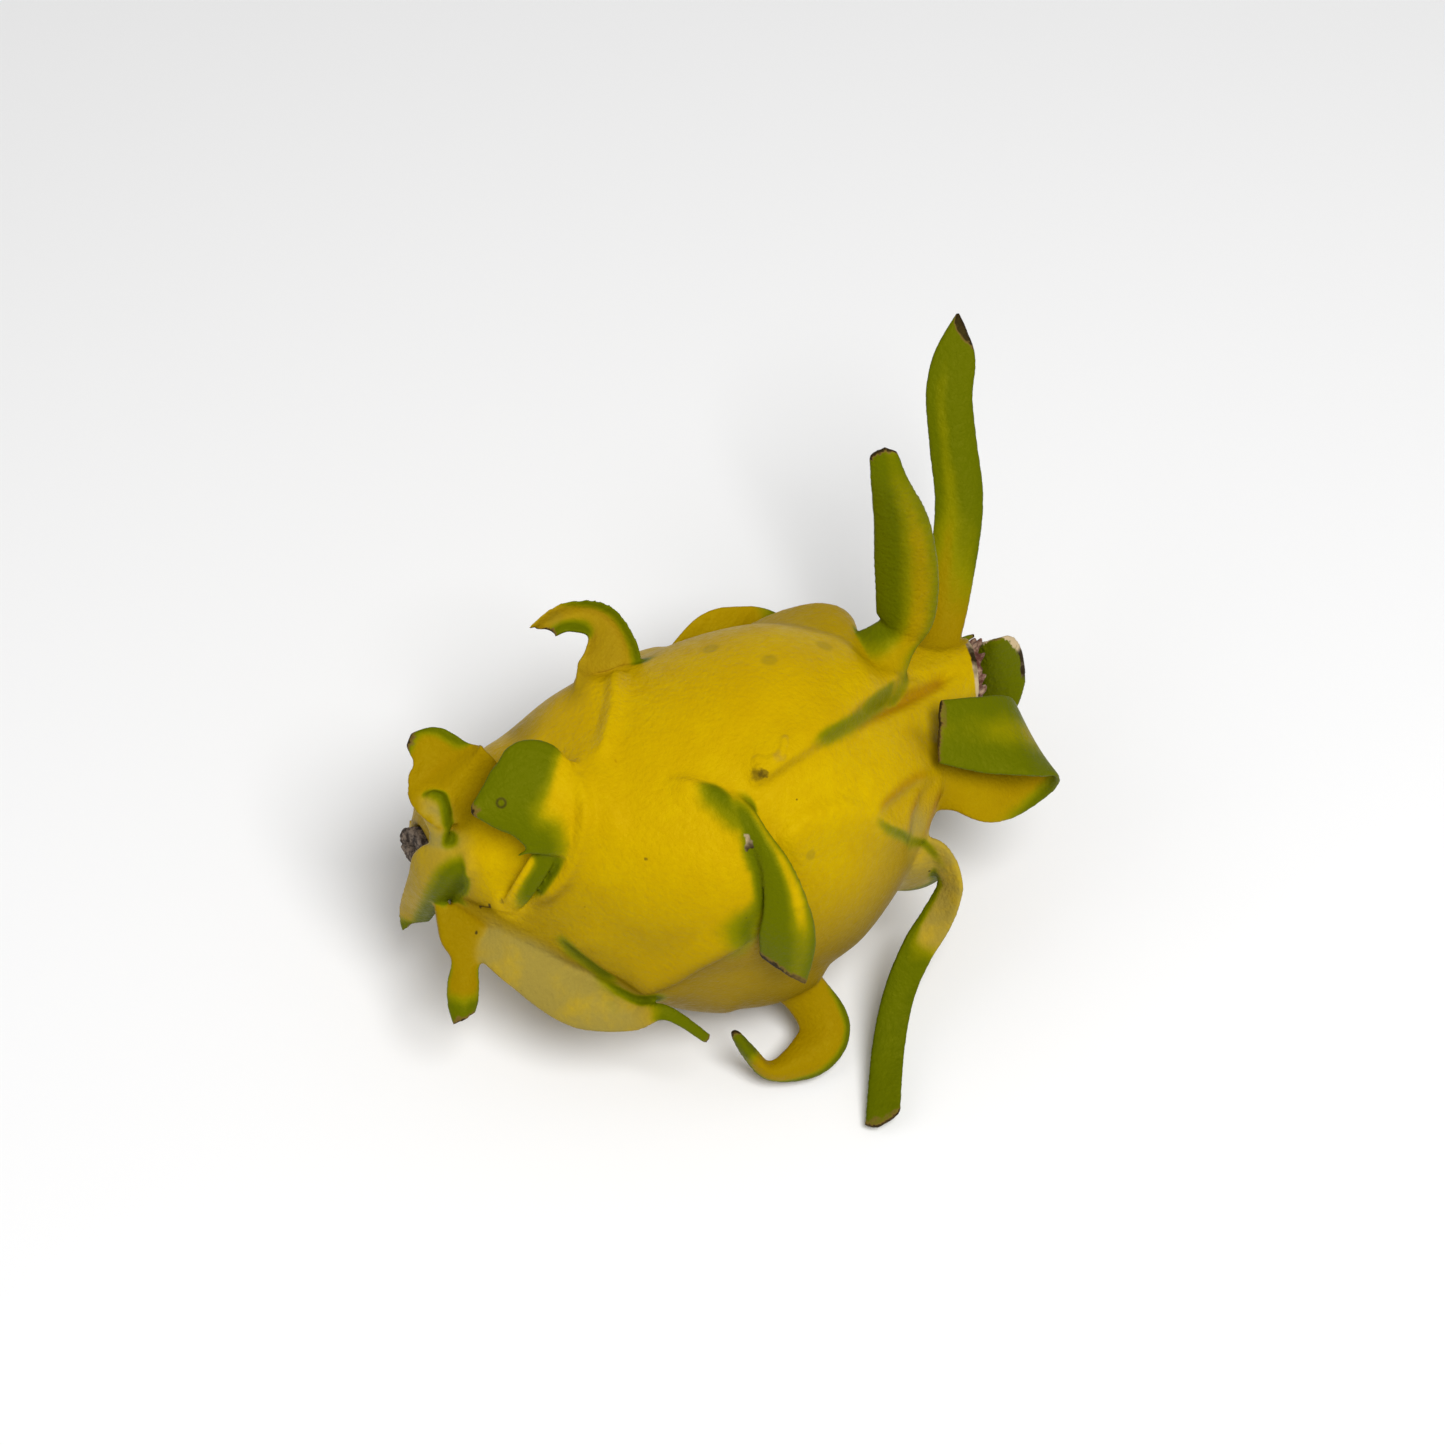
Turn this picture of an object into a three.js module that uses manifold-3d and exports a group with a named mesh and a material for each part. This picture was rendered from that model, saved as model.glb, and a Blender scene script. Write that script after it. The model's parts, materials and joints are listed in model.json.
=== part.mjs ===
// A yellow dragon fruit, whole, lying on its side with its scale leaves (bracts) on it.
//
// Millimetres, +Z up. +X runs along the fruit from the stem end to the navel, the dried flower's end.
// The origin is in the middle of the small flat spot that the fruit rests on, at z = 0.
//
// A place on the skin is given by two numbers: `along`, the distance from the stem end, and `around`,
// the angle in degrees from the top of the fruit, counted towards -Y, down and round underneath.

import * as THREE from 'three';
import { mergeVertices } from 'three/addons/utils/BufferGeometryUtils.js';
import Module from 'manifold-3d';

const wasm = await Module();
wasm.setup();

// ---------------------------------------------------------------- driving dimensions

const LENGTH = 124;            // stem end to the rim of the navel
const STEM_X = -62.6;          // where the stem end lies along X
const CORE_HEIGHT = 37.6;      // height of the core over the table, at mid length
const BOW_BACK = 11.5;         // the two ends bend this far away towards +Y
const BOW_UP = 6;              // and this far up

const SOCKET_RADIUS = 5;       // the hole that the cut stem sits in
const SOCKET_DEPTH = 3;
const STEM_REACH = 1.3;        // how far the cut stem stands out
const NAVEL_DEPTH = 12;        // the cup that the dried flower leaves
const FLOWER_REACH = 3.5;      // how far the flower's remains stand out of it
const FIT_GAP = 0.3;           // clearance round the stem and the flower's remains

const AROUND_STEPS = 44;       // faces round the body
const BODY_STEP = 3.5;         // length of a face along it
const END_STEP = 3;            // and within END_SPAN of the stem end
const END_SPAN = 12;
const STEM_STEPS = 24;         // faces round the cut stem
const FLOWER_STEPS = 28;       // faces round the flower's remains
const BLADE_ACROSS = 4;        // faces across a scale leaf
const BLADE_STEP = 5.5;        // length of a face along it
const ROOT_THICKNESS = 3;      // of a scale leaf where it leaves the body
const TIP_THICKNESS = 1.5;     // at its tip
const EDGE_THINNING = 0.4;     // share of the thickness that its edges lose
const TABLE_SIZE = 400;        // side of the block that cuts the flat spot
const PAD_FRONT = 6;           // a leaf's pad drops off within this distance ahead of the root
const PAD_CROWN = 0.2;         // share of a pad's breadth that keeps its full height
const PAD_EDGE = 1;            // share of it over which its sides then fall away
const END_FADE = 6;            // pads fade out within this distance of either end

// Outer skin: distance from the stem end, and radius there.
const SKIN = [
  [0, 6.5], [3, 12], [10, 17.4], [20, 22.8], [35, 30.8], [50, 35.5], [65, 36.6],
  [80, 33.4], [92, 26.6], [102, 19.6], [112, 13.2], [120, 9], [124, 7.8],
];

// ---------------------------------------------------------------- the scale leaves
//
// Each grows from a root on the skin. Its pad is the swelling that the skin makes below it, towards
// the stem: `reach` long, `breadth` to each side, narrowing to `mouth` at the root, `height` high.
// Its blade follows rows of
//   [ahead towards the navel, out from the skin, sideways with growing angle, half width, twist, cup]
// measured from the root. `slant` skews the cut tip and `point` draws its middle out.

const VISIBLE_LEAVES = {
  tall_strap: {
    along: 110, around: -50, slant: 0, point: 0,
    pad: { reach: 26, breadth: 13, mouth: 7, height: 1.5 },
    rows: [
      [-12, -1.5, 0, 12, 0, 4], [-4, -1, 0, 9, 10, 3], [4, -1, 0, 6.5, 40, 2], [8.8, 2.5, 0, 5, 70, 1],
      [14, 11.5, 0, 5, 77, 1], [20, 25.6, 0, 5.2, 77, 1], [22.3, 38, 0, 5.2, 77, 1],
      [24.3, 48.3, 0, 5, 77, 0.5], [27.9, 56.3, 0, 4.4, 76, 0], [31, 64.3, -0.2, 0.4, 76, 0],
    ],
  },
  broad_strap: {
    along: 94, around: -17, slant: 0, point: 1.3,
    pad: { reach: 44, breadth: 27, mouth: 15, height: 3.5 },
    rows: [
      [-32, -1.5, 0, 27, 0, 10.5], [-18, 0, -1, 25, 5, 9.5], [-8, 1.5, -2, 21, 9, 6.5],
      [0.1, 0.9, -1.3, 16.9, 12, 3.2], [4.3, -1.6, -0.3, 9.7, 14, 2.5], [11, 0.9, -1.6, 5.1, 45, 1.5],
      [13, 5.4, -0.8, 6.1, 58, 1.5], [14, 17.1, -0.1, 6.6, 60, 1], [13.6, 30, 1.1, 5.8, 62, 1],
      [11.6, 41.8, 1.9, 3.9, 66, 0.5], [11.3, 48.2, 0.6, 2.9, 70, 0],
    ],
  },
  far_hump: {
    along: 60, around: -76, slant: 0, point: 2,
    pad: { reach: 30, breadth: 18, mouth: 12, height: 2.5 },
    rows: [
      [2, -6.9, -13.6, 8, -70, 3], [7.9, -4, -10.2, 8.5, -67, 3], [13.2, -1.3, -8, 9.3, -66, 2],
      [17.6, 1, -6.9, 9.3, -60, 1], [22.6, 1.9, -7.3, 7.6, -51, 0.5], [28.1, 1.9, -7.5, 5.6, -56, 0.3],
      [31.9, 0.4, -5, 2, -63, 0],
    ],
  },
  hook: {
    along: 40, around: -45, slant: -2, point: -2,
    pad: { reach: 20, breadth: 14, mouth: 8, height: 1.2 },
    rows: [
      [-14, -5, 0, 8, 0, 3], [-5, -3.5, 0, 8, -10, 3], [-0.2, -2.2, -0.3, 7.9, -40, 2],
      [5.5, 1, 0, 7.2, -75, 1], [8.1, 6.2, -0.1, 5.8, -80, 1], [7, 12.2, 0, 3.8, -62, 1],
      [1, 14.4, 0, 2.8, -60, 1], [-4.4, 13.2, 0, 2.2, -70, 1],
    ],
  },
  triangle: {
    along: 34, around: 16, slant: 0, point: 0,
    pad: { reach: 20, breadth: 15, mouth: 14, height: 2.5 },
    rows: [
      [1.1, -3, -0.2, 6, -26, 2], [-2.8, -0.9, -0.3, 8.5, -25, 2.5], [-6.4, 0.3, 0.6, 9.2, -24, 2.2],
      [-10, 1.3, -1.3, 10.1, -24, 2], [-13.9, 1.7, -4.1, 11.6, -25, 1.8],
      [-17.4, 1.7, -4.7, 8.2, -25, 1.4], [-21.1, 1.3, -4.9, 4.9, -24, 0.8],
      [-25.1, 1.1, -5.2, 0.9, -23, 0],
    ],
  },
  triangle_fold: {
    along: 30, around: 45, slant: 0, point: 0,
    pad: { reach: 10, breadth: 10, mouth: 8, height: 1 },
    rows: [
      [-7.4, -5.1, -7.8, 2, 16, 0], [-10.1, -4, -5.1, 2.3, 15, 0], [-13.5, -5.8, -1.4, 2.4, 12, 0],
      [-16.3, -9, 2.1, 2.2, 11, 0], [-18.2, -15.2, 5, 1.5, 10, 0],
    ],
  },
  stem_upper: {
    along: 12, around: -20, slant: 0, point: 0,
    pad: { reach: 9, breadth: 14, mouth: 12, height: 1 },
    rows: [
      [1.6, -1.9, 5.8, 6, -49, -1], [-0.4, 0.8, 4.6, 8, -50, -1.5], [-3.2, 3.3, 4.1, 9.4, -43, -1.5],
      [-4.2, 5, 0.1, 7.8, -39, -1.5], [-5.6, 8.4, -2.4, 5.2, -35, -1], [-8.8, 10.1, -5, 1.5, -36, 0],
    ],
  },
  stem_lower: {
    along: 8, around: 50, slant: 2, point: -1,
    pad: { reach: 7, breadth: 9, mouth: 7, height: 1 },
    rows: [
      [-1.5, -5.3, -5.1, 2.7, 32, 0], [-4, -2.3, -3.6, 4.2, 25, 1], [-7.6, -4.2, -0.8, 5.7, 16, 1.8],
      [-10, -9.7, 4.4, 4.8, 14, 1.8], [-11.8, -21.9, 12.3, 3.5, 7, 0.5], [-12.3, -24, 15.4, 2.6, 7, 0],
    ],
  },
  stem_side: {
    along: 6, around: 25, slant: 0, point: 1,
    pad: { reach: 5, breadth: 5, mouth: 3, height: 0.5 },
    rows: [
      [-3.9, -2.5, 1.2, 1.8, -18, 0], [-2.9, 1.2, -1.7, 2.1, -19, 0.6], [-2.8, 4, -5.8, 3.1, -17, 1],
      [-1.7, 4.7, -8.8, 2.1, -17, 0.4],
    ],
  },
  stem_under: {
    along: 14, around: 120, slant: 1, point: 0,
    pad: { reach: 12, breadth: 10, mouth: 6, height: 1.5 },
    rows: [
      [-8, -9.5, -3, 7.5, 90, 0], [-10.8, -4, -3, 5.4, 90, 0], [-12, 0, -3, 3, 90, 0],
      [-13.9, 4.7, -3, 3.4, 90, 1], [-15, 8.2, -2.4, 3.3, 90, 1], [-15.8, 11.6, -2, 2.4, 90, 1],
    ],
  },
  keel: {
    along: 26, around: 108, slant: 0, point: 0,
    pad: { reach: 20, breadth: 12, mouth: 9, height: 2 },
    rows: [
      [-15.9, -14.1, -1.1, 7.5, -81, 0], [-11.3, -6.8, -1.3, 8, -81, 1],
      [-7.7, -0.3, 0.4, 7.4, -81, 2], [-3.3, 6.7, 0, 6.1, -78, 2], [4, 12.3, -0.3, 3.2, -80, 1],
      [10.4, 14.6, -3.4, 1.6, -76, 0], [17.4, 21.5, 1.5, 1.1, -75, 0],
    ],
  },
  curl: {
    along: 70, around: 128, slant: 0, point: 1,
    pad: { reach: 48, breadth: 24, mouth: 14, height: 3.6 },
    rows: [
      [-12, -5.5, -1, 9, 0, 2], [-5.5, -1, -1, 6, -60, 0], [-1.4, 5.5, 0, 5, -70, 1],
      [0.2, 13, -1, 5.4, -78, 1.5], [-5, 17.2, -2.5, 4.8, -94, 2], [-13.3, 17.9, -2.9, 2.2, -106, 2],
      [-17.1, 12.6, -4.1, 1.7, -120, 2], [-19.3, 7.3, -5.5, 1.1, -128, 0],
    ],
  },
  centre_strap: {
    along: 58, around: 54, slant: -3, point: 0,
    pad: { reach: 42, breadth: 27, mouth: 19, height: 2.8 },
    rows: [
      [-4.7, -11, -19, 1.9, -8, 0], [-1.8, -6.5, -17.6, 1.5, -11, 0],
      [1.3, -0.9, -14.4, 1.3, -22, 0.5], [2.3, 2.4, -9.3, 2, -31, 0.5], [3.5, 4.7, -3, 3.1, -35, 0.8],
      [3.6, 5.2, 4.7, 4.5, -35, 0.8], [2.6, 4.3, 12.3, 5.8, -27, 0.8], [0.9, 0.6, 20.4, 5.3, -18, 0.5],
    ],
  },
  right_strap: {
    along: 98, around: 100, slant: 1.5, point: 1.5,
    pad: { reach: 44, breadth: 26, mouth: 13, height: 2 },
    rows: [
      [-30, -1.5, 0, 28, 0, 12], [-18, 0.5, 1, 23, 0, 9], [-9, 3.2, 2, 16, 0, 5],
      [-3, 5.6, 2.5, 11, -6, 2.4], [1.5, 5, -1, 5, -20, 0.5], [3.8, 8.5, 1, 3.8, -10, 0],
      [3.6, 11.5, 4.5, 3.6, 0, 0], [0, 15, 9.3, 3.6, -22, 0], [-5.5, 18.8, 13.5, 3.6, -40, 0],
      [-11.2, 24.6, 18.5, 3.4, -40, 0], [-16.8, 33.5, 22.8, 3.5, -32, 0],
      [-23.6, 47.5, 24.4, 3.8, -18, 0],
    ],
  },
  folded_strap: {
    along: 104, around: 80, slant: 0, point: 0,
    pad: { reach: 40, breadth: 24, mouth: 12, height: 2.5 },
    rows: [
      [-20, -2.5, -4, 12, 0, 5], [-9, -0.5, -4, 10.5, 0, 4], [0.1, 0.6, -2.9, 8, -20, 2],
      [5, 1.6, -1.1, 6, -38, 1], [11.3, 3.3, 1.6, 7.4, -43, 0], [18.4, 1, 1.3, 8.5, -53, 0],
      [22.3, 0.7, -3.5, 8.8, -97, 0], [18.5, 1.7, -9.1, 9, -120, 0], [11.3, 1, -12, 8.2, -135, 0],
      [1.8, -1, -15.4, 6.5, -140, 0],
    ],
  },
  navel_far: {
    along: 116, around: 175, slant: 1, point: 1,
    pad: { reach: 12, breadth: 8, mouth: 5, height: 1 },
    rows: [
      [0, -2, 4, 6, -90, 0], [6, -0.5, 4, 6, -120, 0], [10.4, -2, 2, 5.8, -125, 0.5],
      [12, -6.6, 1.5, 6.2, -111, 1.5], [12.6, -11, 2, 6, -96, 2.5], [12.8, -16, 3.2, 5, -91, 2.5],
      [12.9, -18.6, 3.6, 2.6, -91, 1.5],
    ],
  },
};

// The leaves of the far side and the underside follow three patterns. Each is placed by its distance
// from the stem end, its angle, its size, and how far it leans sideways along its length.

const LEAF_PATTERNS = {
  tongue: {
    slant: 0, point: 1,
    pad: { reach: 26, breadth: 17, mouth: 10, height: 2.5 },
    rows: [
      [-13, -3, 0, 12, 0, 4], [-4, -1, 0, 9.5, 0, 2.5], [4, 1.5, 0, 7, 6, 1.5], [11, 4.5, 0, 5, 12, 1],
      [18, 7, 0, 3.6, 18, 0.5], [25, 8, 0, 1.2, 18, 0],
    ],
  },
  strap: {
    slant: 1.5, point: -1,
    pad: { reach: 30, breadth: 19, mouth: 9, height: 2.5 },
    rows: [
      [-14, -3, 0, 13, 0, 5], [-5, -1, 0, 9.5, 0, 2.5], [2, 2, 0, 6.3, 10, 1], [7, 8, 0, 4.5, 20, 1],
      [12, 16, 0, 4, 30, 1], [19, 23, 0, 3.8, 40, 0.5], [27, 27, 0, 3.6, 50, 0], [35, 28, 0, 3, 60, 0],
    ],
  },
  claw: {
    slant: 1, point: 1,
    pad: { reach: 26, breadth: 17, mouth: 8, height: 2.5 },
    rows: [
      [-13, -3, 0, 12, 0, 4], [-4, -1, 0, 9, 0, 2], [2.5, 3, 0, 5.8, 0, 1], [5, 9, 0, 4.4, 0, 1],
      [2.5, 14.5, 0, 4, 0, 1], [-4, 17.5, 0, 3.6, 10, 1], [-11, 16.5, 0, 3, 20, 0.5],
      [-16, 13, 0, 1.2, 20, 0],
    ],
  },
};

// [distance from the stem end, angle, pattern, size, lean]
const PLACED_LEAVES = [
  [8, -135, 'tongue', 0.55, 2], [11, 178, 'tongue', 0.6, -3], [18, 150, 'tongue', 0.6, 3],
  [30, -128, 'claw', 0.85, 4], [34, -172, 'tongue', 0.6, 2], [50, -112, 'tongue', 0.8, 4],
  [54, -118, 'strap', 0.9, -4], [82, -118, 'strap', 1, -6], [86, -158, 'tongue', 0.9, 5],
  [99, -108, 'claw', 0.65, -4], [100, -176, 'tongue', 0.75, -4], [107, -130, 'strap', 0.8, 2],
];

// Pads whose leaves have dropped. The first is pressed flat: the fruit rests on it.
const BARE_PADS = [
  { along: 72, around: 180, pad: { reach: 46, breadth: 20, mouth: 16, height: 2.2 } },
  { along: 50, around: 122, pad: { reach: 30, breadth: 18, mouth: 14, height: 3.2 } },
];

function placeLeaf([along, around, pattern, size, lean]) {
  const { slant, point, pad, rows } = LEAF_PATTERNS[pattern];
  const sized = Object.fromEntries(Object.entries(pad).map(([name, value]) => [name, value * size]));
  const bent = rows.map(([ahead, out, side, half, twist, cup], n) => {
    const share = n / (rows.length - 1);
    const bend = side + lean * share * share;
    return [ahead * size, out * size, bend, half * size, twist * Math.sign(lean), cup * size];
  });
  return { along, around, slant, point, pad: sized, rows: bent };
}

const LEAVES = { ...VISIBLE_LEAVES };
PLACED_LEAVES.forEach((place, n) => { LEAVES[`placed_${n + 1}`] = placeLeaf(place); });
const PADS = [...Object.values(LEAVES), ...BARE_PADS];

// ---------------------------------------------------------------- the body's form

const clamp01 = (value) => Math.min(1, Math.max(0, value));
const smooth = (value) => THREE.MathUtils.smoothstep(value, 0, 1);
const radians = THREE.MathUtils.degToRad;

// A Catmull-Rom curve through `rows`, read at position `t` in rows. Every column is blended alike.
function between(rows, t) {
  const last = rows.length - 1;
  const i = Math.min(Math.floor(t), last - 1);
  const f = t - i;
  const before = rows[Math.max(i - 1, 0)];
  const after = rows[Math.min(i + 2, last)];
  return rows[i].map((b, column) => {
    const [a, c, d] = [before[column], rows[i + 1][column], after[column]];
    return b + 0.5 * f * (c - a + f * (2 * a - 5 * b + 4 * c - d + f * (3 * (b - c) + d - a)));
  });
}

// Radius of the plain skin at a distance from the stem end.
function skinRadius(along) {
  const at = clamp01(along / LENGTH) * LENGTH;
  const i = Math.min(SKIN.findIndex(([end], n) => n > 0 && at <= end), SKIN.length - 1) - 1;
  const [start, end] = [SKIN[i][0], SKIN[i + 1][0]];
  return between(SKIN, i + (at - start) / (end - start))[1];
}

// The core line of the fruit, a shallow bow.
function corePoint(along) {
  const half = LENGTH / 2;
  const bend = ((along - half) / half) ** 2;
  return new THREE.Vector3(along + STEM_X, BOW_BACK * bend, CORE_HEIGHT + BOW_UP * bend);
}

const outward = (around) => new THREE.Vector3(0, -Math.sin(radians(around)), Math.cos(radians(around)));
const sideways = (around) => new THREE.Vector3(0, -Math.cos(radians(around)), -Math.sin(radians(around)));

// Height of one leaf's pad at a place on the skin: a soft swelling, rounded across, that fades out
// towards the stem and drops off just ahead of the root.
function padHeight(leaf, along, around) {
  const { reach, breadth, mouth, height } = leaf.pad;
  const ahead = along - leaf.along;
  const turn = radians(THREE.MathUtils.euclideanModulo(around - leaf.around + 180, 360) - 180);
  const back = clamp01(-ahead / reach);
  const rise = ahead < 0 ? smooth(1.15 * (1 - back)) : 1 - smooth(ahead / PAD_FRONT);
  const half = mouth + (breadth - mouth) * Math.sin(0.5 * Math.PI * Math.min(1, 1.6 * back));
  const side = Math.abs(turn) * skinRadius(leaf.along) / half;
  return height * rise * (1 - smooth((side - PAD_CROWN) / PAD_EDGE));
}

// Pads that overlap flow together: this sum of cubes is a soft maximum.
function relief(along, around) {
  const ends = smooth(along / END_FADE) * smooth((LENGTH - along) / END_FADE);
  const cubes = PADS.map((leaf) => padHeight(leaf, along, around) ** 3);
  return ends * Math.cbrt(cubes.reduce((total, cube) => total + cube, 0));
}

function toSolid(geometry) {
  geometry.deleteAttribute('normal');
  geometry.deleteAttribute('uv');
  const merged = mergeVertices(geometry, 1e-4);
  return new wasm.Manifold(new wasm.Mesh({
    numProp: 3,
    vertProperties: Float32Array.from(merged.attributes.position.array),
    triVerts: Uint32Array.from(merged.index.array),
  }));
}

// A turned shape about the core line. `profile` holds [radius, along] pairs, and `shift` moves each
// point of it out and along, by its number in the profile, its place along and its angle.
function turnedSolid(profile, steps, shift) {
  const turned = new THREE.LatheGeometry(profile.map((pair) => new THREE.Vector2(...pair)), steps);
  const place = turned.attributes.position;
  for (let n = 0; n < place.count; n += 1) {
    const along = place.getY(n);
    const around = THREE.MathUtils.radToDeg(Math.atan2(place.getX(n), place.getZ(n)));
    const [out, ahead] = shift(n % profile.length, along, around);
    const radius = Math.hypot(place.getX(n), place.getZ(n)) + out;
    const point = corePoint(along + ahead).addScaledVector(outward(around), radius);
    place.setXYZ(n, point.x, point.y, point.z);
  }
  return toSolid(turned);
}

// Hollows at the two ends: a straight socket for the stem and a tapering cup, the navel.
const SOCKET = [[0, -1], [SOCKET_RADIUS, -1], [SOCKET_RADIUS, SOCKET_DEPTH], [0, SOCKET_DEPTH]];
const NAVEL = [
  [0, LENGTH - NAVEL_DEPTH], [3.5, LENGTH - NAVEL_DEPTH], [4.8, LENGTH - 6], [6, LENGTH], [7, LENGTH + 6],
  [0, LENGTH + 6],
];

function bodySolid() {
  const profile = [[0, 0]];
  for (let along = 0; along < LENGTH; along += along < END_SPAN ? END_STEP : BODY_STEP) {
    profile.push([skinRadius(along), along]);
  }
  profile.push([skinRadius(LENGTH), LENGTH], [0, LENGTH]);
  const onSkin = (step) => step > 0 && step < profile.length - 1;
  const raise = (step, along, around) => [onSkin(step) ? relief(along, around) : 0, 0];
  return turnedSolid(profile, AROUND_STEPS, raise);
}

// The cut stem: a woody plug, cracked and roughly broken at its end.
function stemSolid() {
  const radius = SOCKET_RADIUS - FIT_GAP;
  const inner = SOCKET_DEPTH - FIT_GAP;
  const profile = [
    [0, -STEM_REACH + 0.8], [0.9, -STEM_REACH + 0.8], [1.3, -STEM_REACH], [radius - 1, -STEM_REACH],
    [radius - 0.2, -STEM_REACH + 0.6], [radius, 0], [radius, inner], [0, inner],
  ];
  return turnedSolid(profile, STEM_STEPS, (step, along, around) => {
    const ragged = step >= 2 && step <= 4 ? 1 : 0;
    const crack = Math.sin(radians(5 * around)) + 0.6 * Math.sin(radians(8 * around + 40));
    return [0.2 * ragged * (crack - 1.6), 0.25 * ragged * crack];
  });
}

// The dried flower: a ragged little cup that fills the navel.
function flowerSolid() {
  const [, floor, waist, rim] = NAVEL.map(([radius, along]) => [radius - FIT_GAP, along]);
  const top = LENGTH + FLOWER_REACH;
  const profile = [
    [0, floor[1] + FIT_GAP], [floor[0], floor[1] + FIT_GAP], waist, rim, [rim[0] + 0.4, LENGTH + 1.2],
    [rim[0] + 0.1, top], [rim[0] - 1.3, top - 0.5], [rim[0] - 2.3, LENGTH - 1],
    [1.4, LENGTH - 3], [0, LENGTH - 2.6],
  ];
  return turnedSolid(profile, FLOWER_STEPS, (step, along, around) => {
    const torn = step >= 5 && step <= 6 ? 1 : 0;
    const tear = Math.sin(radians(4 * around)) + 0.7 * Math.sin(radians(9 * around + 60));
    return [0.35 * torn * tear, torn * (0.9 * tear - 0.6)];
  });
}

// ---------------------------------------------------------------- scale leaf blades

// The middle line of a blade with the directions across it and square to its face, in equal steps.
function bladeFrames(leaf, steps) {
  const out = outward(leaf.around);
  const side = sideways(leaf.around);
  const root = corePoint(leaf.along).addScaledVector(out, skinRadius(leaf.along));
  const stations = Array.from({ length: steps + 1 }, (_, n) => {
    const [ahead, up, across, half, twist, cup] = between(leaf.rows, (n / steps) * (leaf.rows.length - 1));
    const point = root.clone().addScaledVector(out, up).addScaledVector(side, across);
    point.x += ahead;
    return { point, half, twist, cup };
  });
  let normal = out;
  let heading = null;
  stations.forEach((station, n) => {
    const before = stations[Math.max(n - 1, 0)].point;
    const after = stations[Math.min(n + 1, steps)].point;
    const tangent = after.clone().sub(before).normalize();
    if (heading) normal.applyQuaternion(new THREE.Quaternion().setFromUnitVectors(heading, tangent));
    normal = normal.clone().addScaledVector(tangent, -normal.dot(tangent)).normalize();
    heading = tangent;
    station.tangent = tangent;
    station.normal = normal.clone().applyAxisAngle(tangent, radians(station.twist));
    station.across = new THREE.Vector3().crossVectors(tangent, station.normal);
  });
  return stations;
}

// A closed blade: a grid of faces on either side, split alike, and a rim that joins them.
function bladeSolid(leaf) {
  const line = new THREE.CatmullRomCurve3(leaf.rows.map((row) => new THREE.Vector3(...row)));
  const steps = Math.max(6, Math.round(line.getLength() / BLADE_STEP));
  const stations = bladeFrames(leaf, steps);
  const face = new THREE.PlaneGeometry(2, 1, BLADE_ACROSS, steps);
  const across = face.attributes.position;
  const sheets = [[], []];
  for (let n = 0; n < across.count; n += 1) {
    const v = across.getX(n);
    const u = 0.5 - across.getY(n);
    const { point, half, cup, tangent, normal, across: broad } = stations[Math.round(u * steps)];
    const end = smooth((u - 0.75) / 0.25);
    const middle = point.clone()
      .addScaledVector(broad, v * half)
      .addScaledVector(normal, -cup * v * v)
      .addScaledVector(tangent, end * (leaf.slant * v + leaf.point * (1 - v * v)));
    const along = THREE.MathUtils.lerp(ROOT_THICKNESS, TIP_THICKNESS, smooth(u * 2));
    const thickness = along * (1 - EDGE_THINNING * v * v);
    sheets[0].push(...middle.clone().addScaledVector(normal, thickness / 2));
    sheets[1].push(...middle.clone().addScaledVector(normal, -thickness / 2));
  }
  const width = BLADE_ACROSS + 1;
  const rim = [];
  for (let i = 0; i < BLADE_ACROSS; i += 1) rim.push(i);
  for (let j = 0; j < steps; j += 1) rim.push(j * width + BLADE_ACROSS);
  for (let i = BLADE_ACROSS; i > 0; i -= 1) rim.push(steps * width + i);
  for (let j = steps; j > 0; j -= 1) rim.push(j * width);
  const count = across.count;
  const triangles = [];
  const fronts = face.index.array;
  for (let n = 0; n < fronts.length; n += 3) {
    const [a, b, c] = fronts.slice(n, n + 3);
    triangles.push(a, c, b, count + a, count + b, count + c);
  }
  rim.forEach((a, n) => {
    const b = rim[(n + 1) % rim.length];
    triangles.push(a, count + a, b, b, count + a, count + b);
  });
  const blade = new THREE.BufferGeometry();
  blade.setAttribute('position', new THREE.Float32BufferAttribute(sheets.flat(), 3));
  blade.setIndex(triangles);
  return toSolid(blade);
}

// ---------------------------------------------------------------- the pieces

function toMesh(name, solid, material) {
  const { vertProperties, triVerts } = solid.getMesh();
  const geometry = new THREE.BufferGeometry();
  geometry.setAttribute('position', new THREE.BufferAttribute(vertProperties, 3));
  geometry.setIndex(new THREE.BufferAttribute(triVerts, 1));
  geometry.computeVertexNormals();
  const mesh = new THREE.Mesh(geometry, material);
  mesh.name = name;
  return mesh;
}

// The body with every leaf fused to it. Pockets that the fusing seals are filled, and the table's
// plane cuts the flat spot.
function fruitSolid() {
  let fruit = bodySolid();
  for (const leaf of Object.values(LEAVES)) fruit = fruit.add(bladeSolid(leaf));
  for (const hollow of [SOCKET, NAVEL]) {
    fruit = fruit.subtract(turnedSolid(hollow, AROUND_STEPS, () => [0, 0]));
  }
  const below = new THREE.BoxGeometry(TABLE_SIZE, TABLE_SIZE, TABLE_SIZE).translate(0, 0, -TABLE_SIZE / 2);
  const bodies = fruit.subtract(toSolid(below)).decompose();
  return bodies.reduce((largest, body) => (body.volume() > largest.volume() ? body : largest));
}

const RIND = new THREE.MeshStandardMaterial({ color: 0xc8a800, roughness: 0.45, metalness: 0 });
const WOOD = new THREE.MeshStandardMaterial({ color: 0x6f5d4c, roughness: 0.9, metalness: 0 });
const DRIED = new THREE.MeshStandardMaterial({ color: 0x6b3a28, roughness: 0.85, metalness: 0 });

const dragonFruit = new THREE.Group();
dragonFruit.add(toMesh('fruit', fruitSolid(), RIND));
dragonFruit.add(toMesh('stem_stub', stemSolid(), WOOD));
dragonFruit.add(toMesh('flower_remnant', flowerSolid(), DRIED));

export default dragonFruit;
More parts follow.
